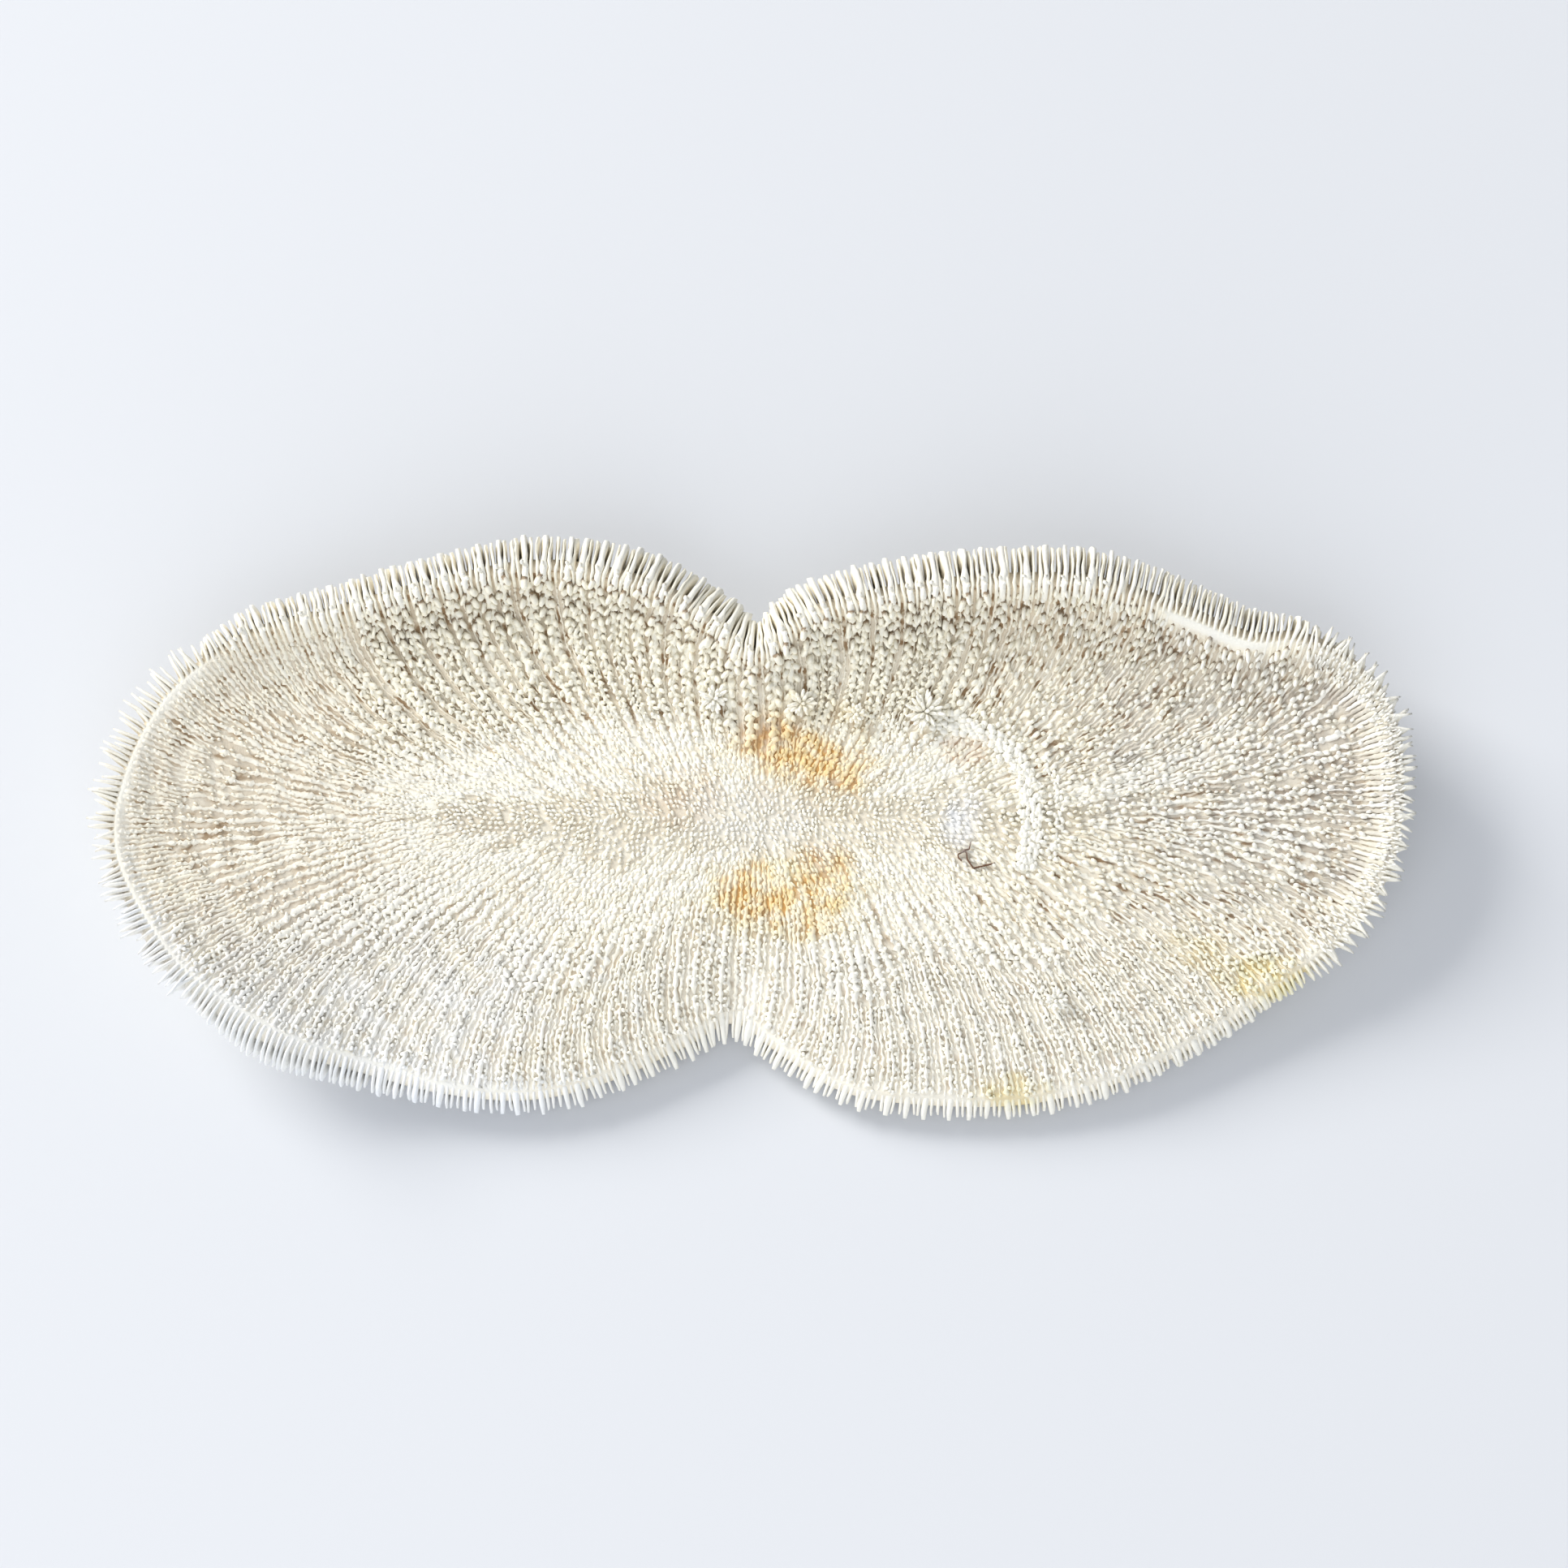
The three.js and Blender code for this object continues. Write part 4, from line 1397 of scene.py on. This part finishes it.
# %% List the stains
# pixel in the photo, half sizes in mm, colour of the grains, colour of the gaps, strength
orange_grain, orange_gap = (0.93, 0.72, 0.38), (0.60, 0.32, 0.09)
yellow_grain, yellow_gap = (0.95, 0.89, 0.58), (0.78, 0.62, 0.28)
stains = [
    # Over the near left lobe the grains are whiter and the gaps are painted a light neutral grey: painted
    # light that lifts the shade there.
    ((400, 1230), (38, 17), (0.985, 0.98, 0.955), (0.92, 0.91, 0.88), 0.85),
    ((1180, 1250), (45, 15), (0.985, 0.975, 0.935), (0.86, 0.83, 0.77), 0.3),
    ((990, 930), (12, 8), (0.93, 0.82, 0.56), (0.68, 0.51, 0.29), 0.6),
    ((960, 1105), (13, 7), (0.93, 0.84, 0.55), (0.70, 0.54, 0.27), 0.7),
    ((948, 912), (5, 3), orange_grain, orange_gap, 0.8),
    ((985, 932), (6, 4), orange_grain, orange_gap, 0.9),
    ((1032, 950), (5, 3.5), orange_grain, orange_gap, 0.7),
    ((918, 1095), (5, 4), orange_grain, orange_gap, 0.9),
    ((950, 1118), (5, 3), orange_grain, orange_gap, 0.8),
    ((1015, 1075), (4, 5), orange_grain, orange_gap, 0.7),
    ((995, 1120), (6, 4), orange_grain, orange_gap, 0.6),
    ((845, 985), (6, 5), (0.90, 0.76, 0.60), (0.58, 0.40, 0.26), 0.4),
    ((1190, 925), (4, 2.5), (0.90, 0.74, 0.56), (0.50, 0.28, 0.16), 0.6),
    ((1184, 1008), (3.5, 4.5), (0.955, 0.955, 0.96), (0.88, 0.88, 0.885), 0.9),
    ((1560, 1210), (7, 4), yellow_grain, yellow_gap, 0.8),
    ((1245, 1345), (6, 2.5), yellow_grain, yellow_gap, 0.7),
    ((1470, 1170), (6, 3), yellow_grain, yellow_gap, 0.4),
    ((925, 1010), (10, 6), (0.95, 0.94, 0.90), (0.84, 0.81, 0.74), 0.7),
    ((300, 1000), (27, 26), (0.90, 0.83, 0.70), (0.64, 0.52, 0.38), 0.45),
    ((470, 1030), (30, 22), (0.91, 0.875, 0.78), (0.66, 0.58, 0.46), 0.45),
    ((1530, 960), (26, 22), (0.89, 0.88, 0.85), (0.47, 0.43, 0.385), 0.55),
    ((1620, 975), (9, 19), (0.90, 0.88, 0.83), (0.47, 0.41, 0.34), 0.5),
]
print("stains:", len(stains))

# %% Lay the stains over the finish
xyz = coral.tree.nodes.new("ShaderNodeSeparateXYZ")
coral.feed(xyz.inputs[0], where)
x_place, y_place = Socket(coral, xyz.outputs[0]), Socket(coral, xyz.outputs[1])
ragged = (coral.noise(where, 150.0, 4.0, 0.7) - 0.5) * 5
spotty = coral.step(0.38, 0.6, coral.noise(where, 330.0, 2.0)) * 0.6 + 0.4
spotty_face = spotty * (1 - hidden)
tips_only = coral.step(0.3, 0.9, crest)
colour = body_colour
for pixel, half_sizes, grain_stain, gap_stain, strength in stains:
    middle = to_frame(pixel_place(pixel))
    far_x = (x_place - float(middle[0])) * (1000 / half_sizes[0])
    far_y = (y_place - float(middle[1])) * (1000 / half_sizes[1])
    away = far_x * far_x + far_y * far_y
    mask = (1 - coral.step(0.0, 2.0, away + ragged)) * spotty_face * strength
    colour = coral.blend(mask, colour, coral.blend(tips_only, gap_stain, grain_stain))
coral.feed(coral.surface.inputs["Base Color"], colour)
coral.surface.inputs["Roughness"].default_value = 0.9
coral.surface.inputs["Specular IOR Level"].default_value = 0.2
bump = coral.node("ShaderNodeBump", None, {"Strength": 0.6, "Distance": 0.00025, "Height": pores})
coral.feed(coral.surface.inputs["Normal"], bump)
print("nodes of the whole finish:", len(coral.tree.nodes))

# %% Dress every piece
coral_pieces = [wall, ridges_right, ridges_left, pegs_right, pegs_left, grains_right, grains_left,
                healed_growth, rusty_curl, blades_main, blades_thin, rim_pegs]
for piece in coral_pieces:
    piece.data.materials.clear()
    piece.data.materials.append(coral.material)
    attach(piece, "root")
    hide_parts("coral_skeleton")
print("pieces:", len(coral_pieces))

# %% [markdown]
# ## Size
# The dressed coral has to fit the solid one. Every piece is held inside the solid's box as it is made.
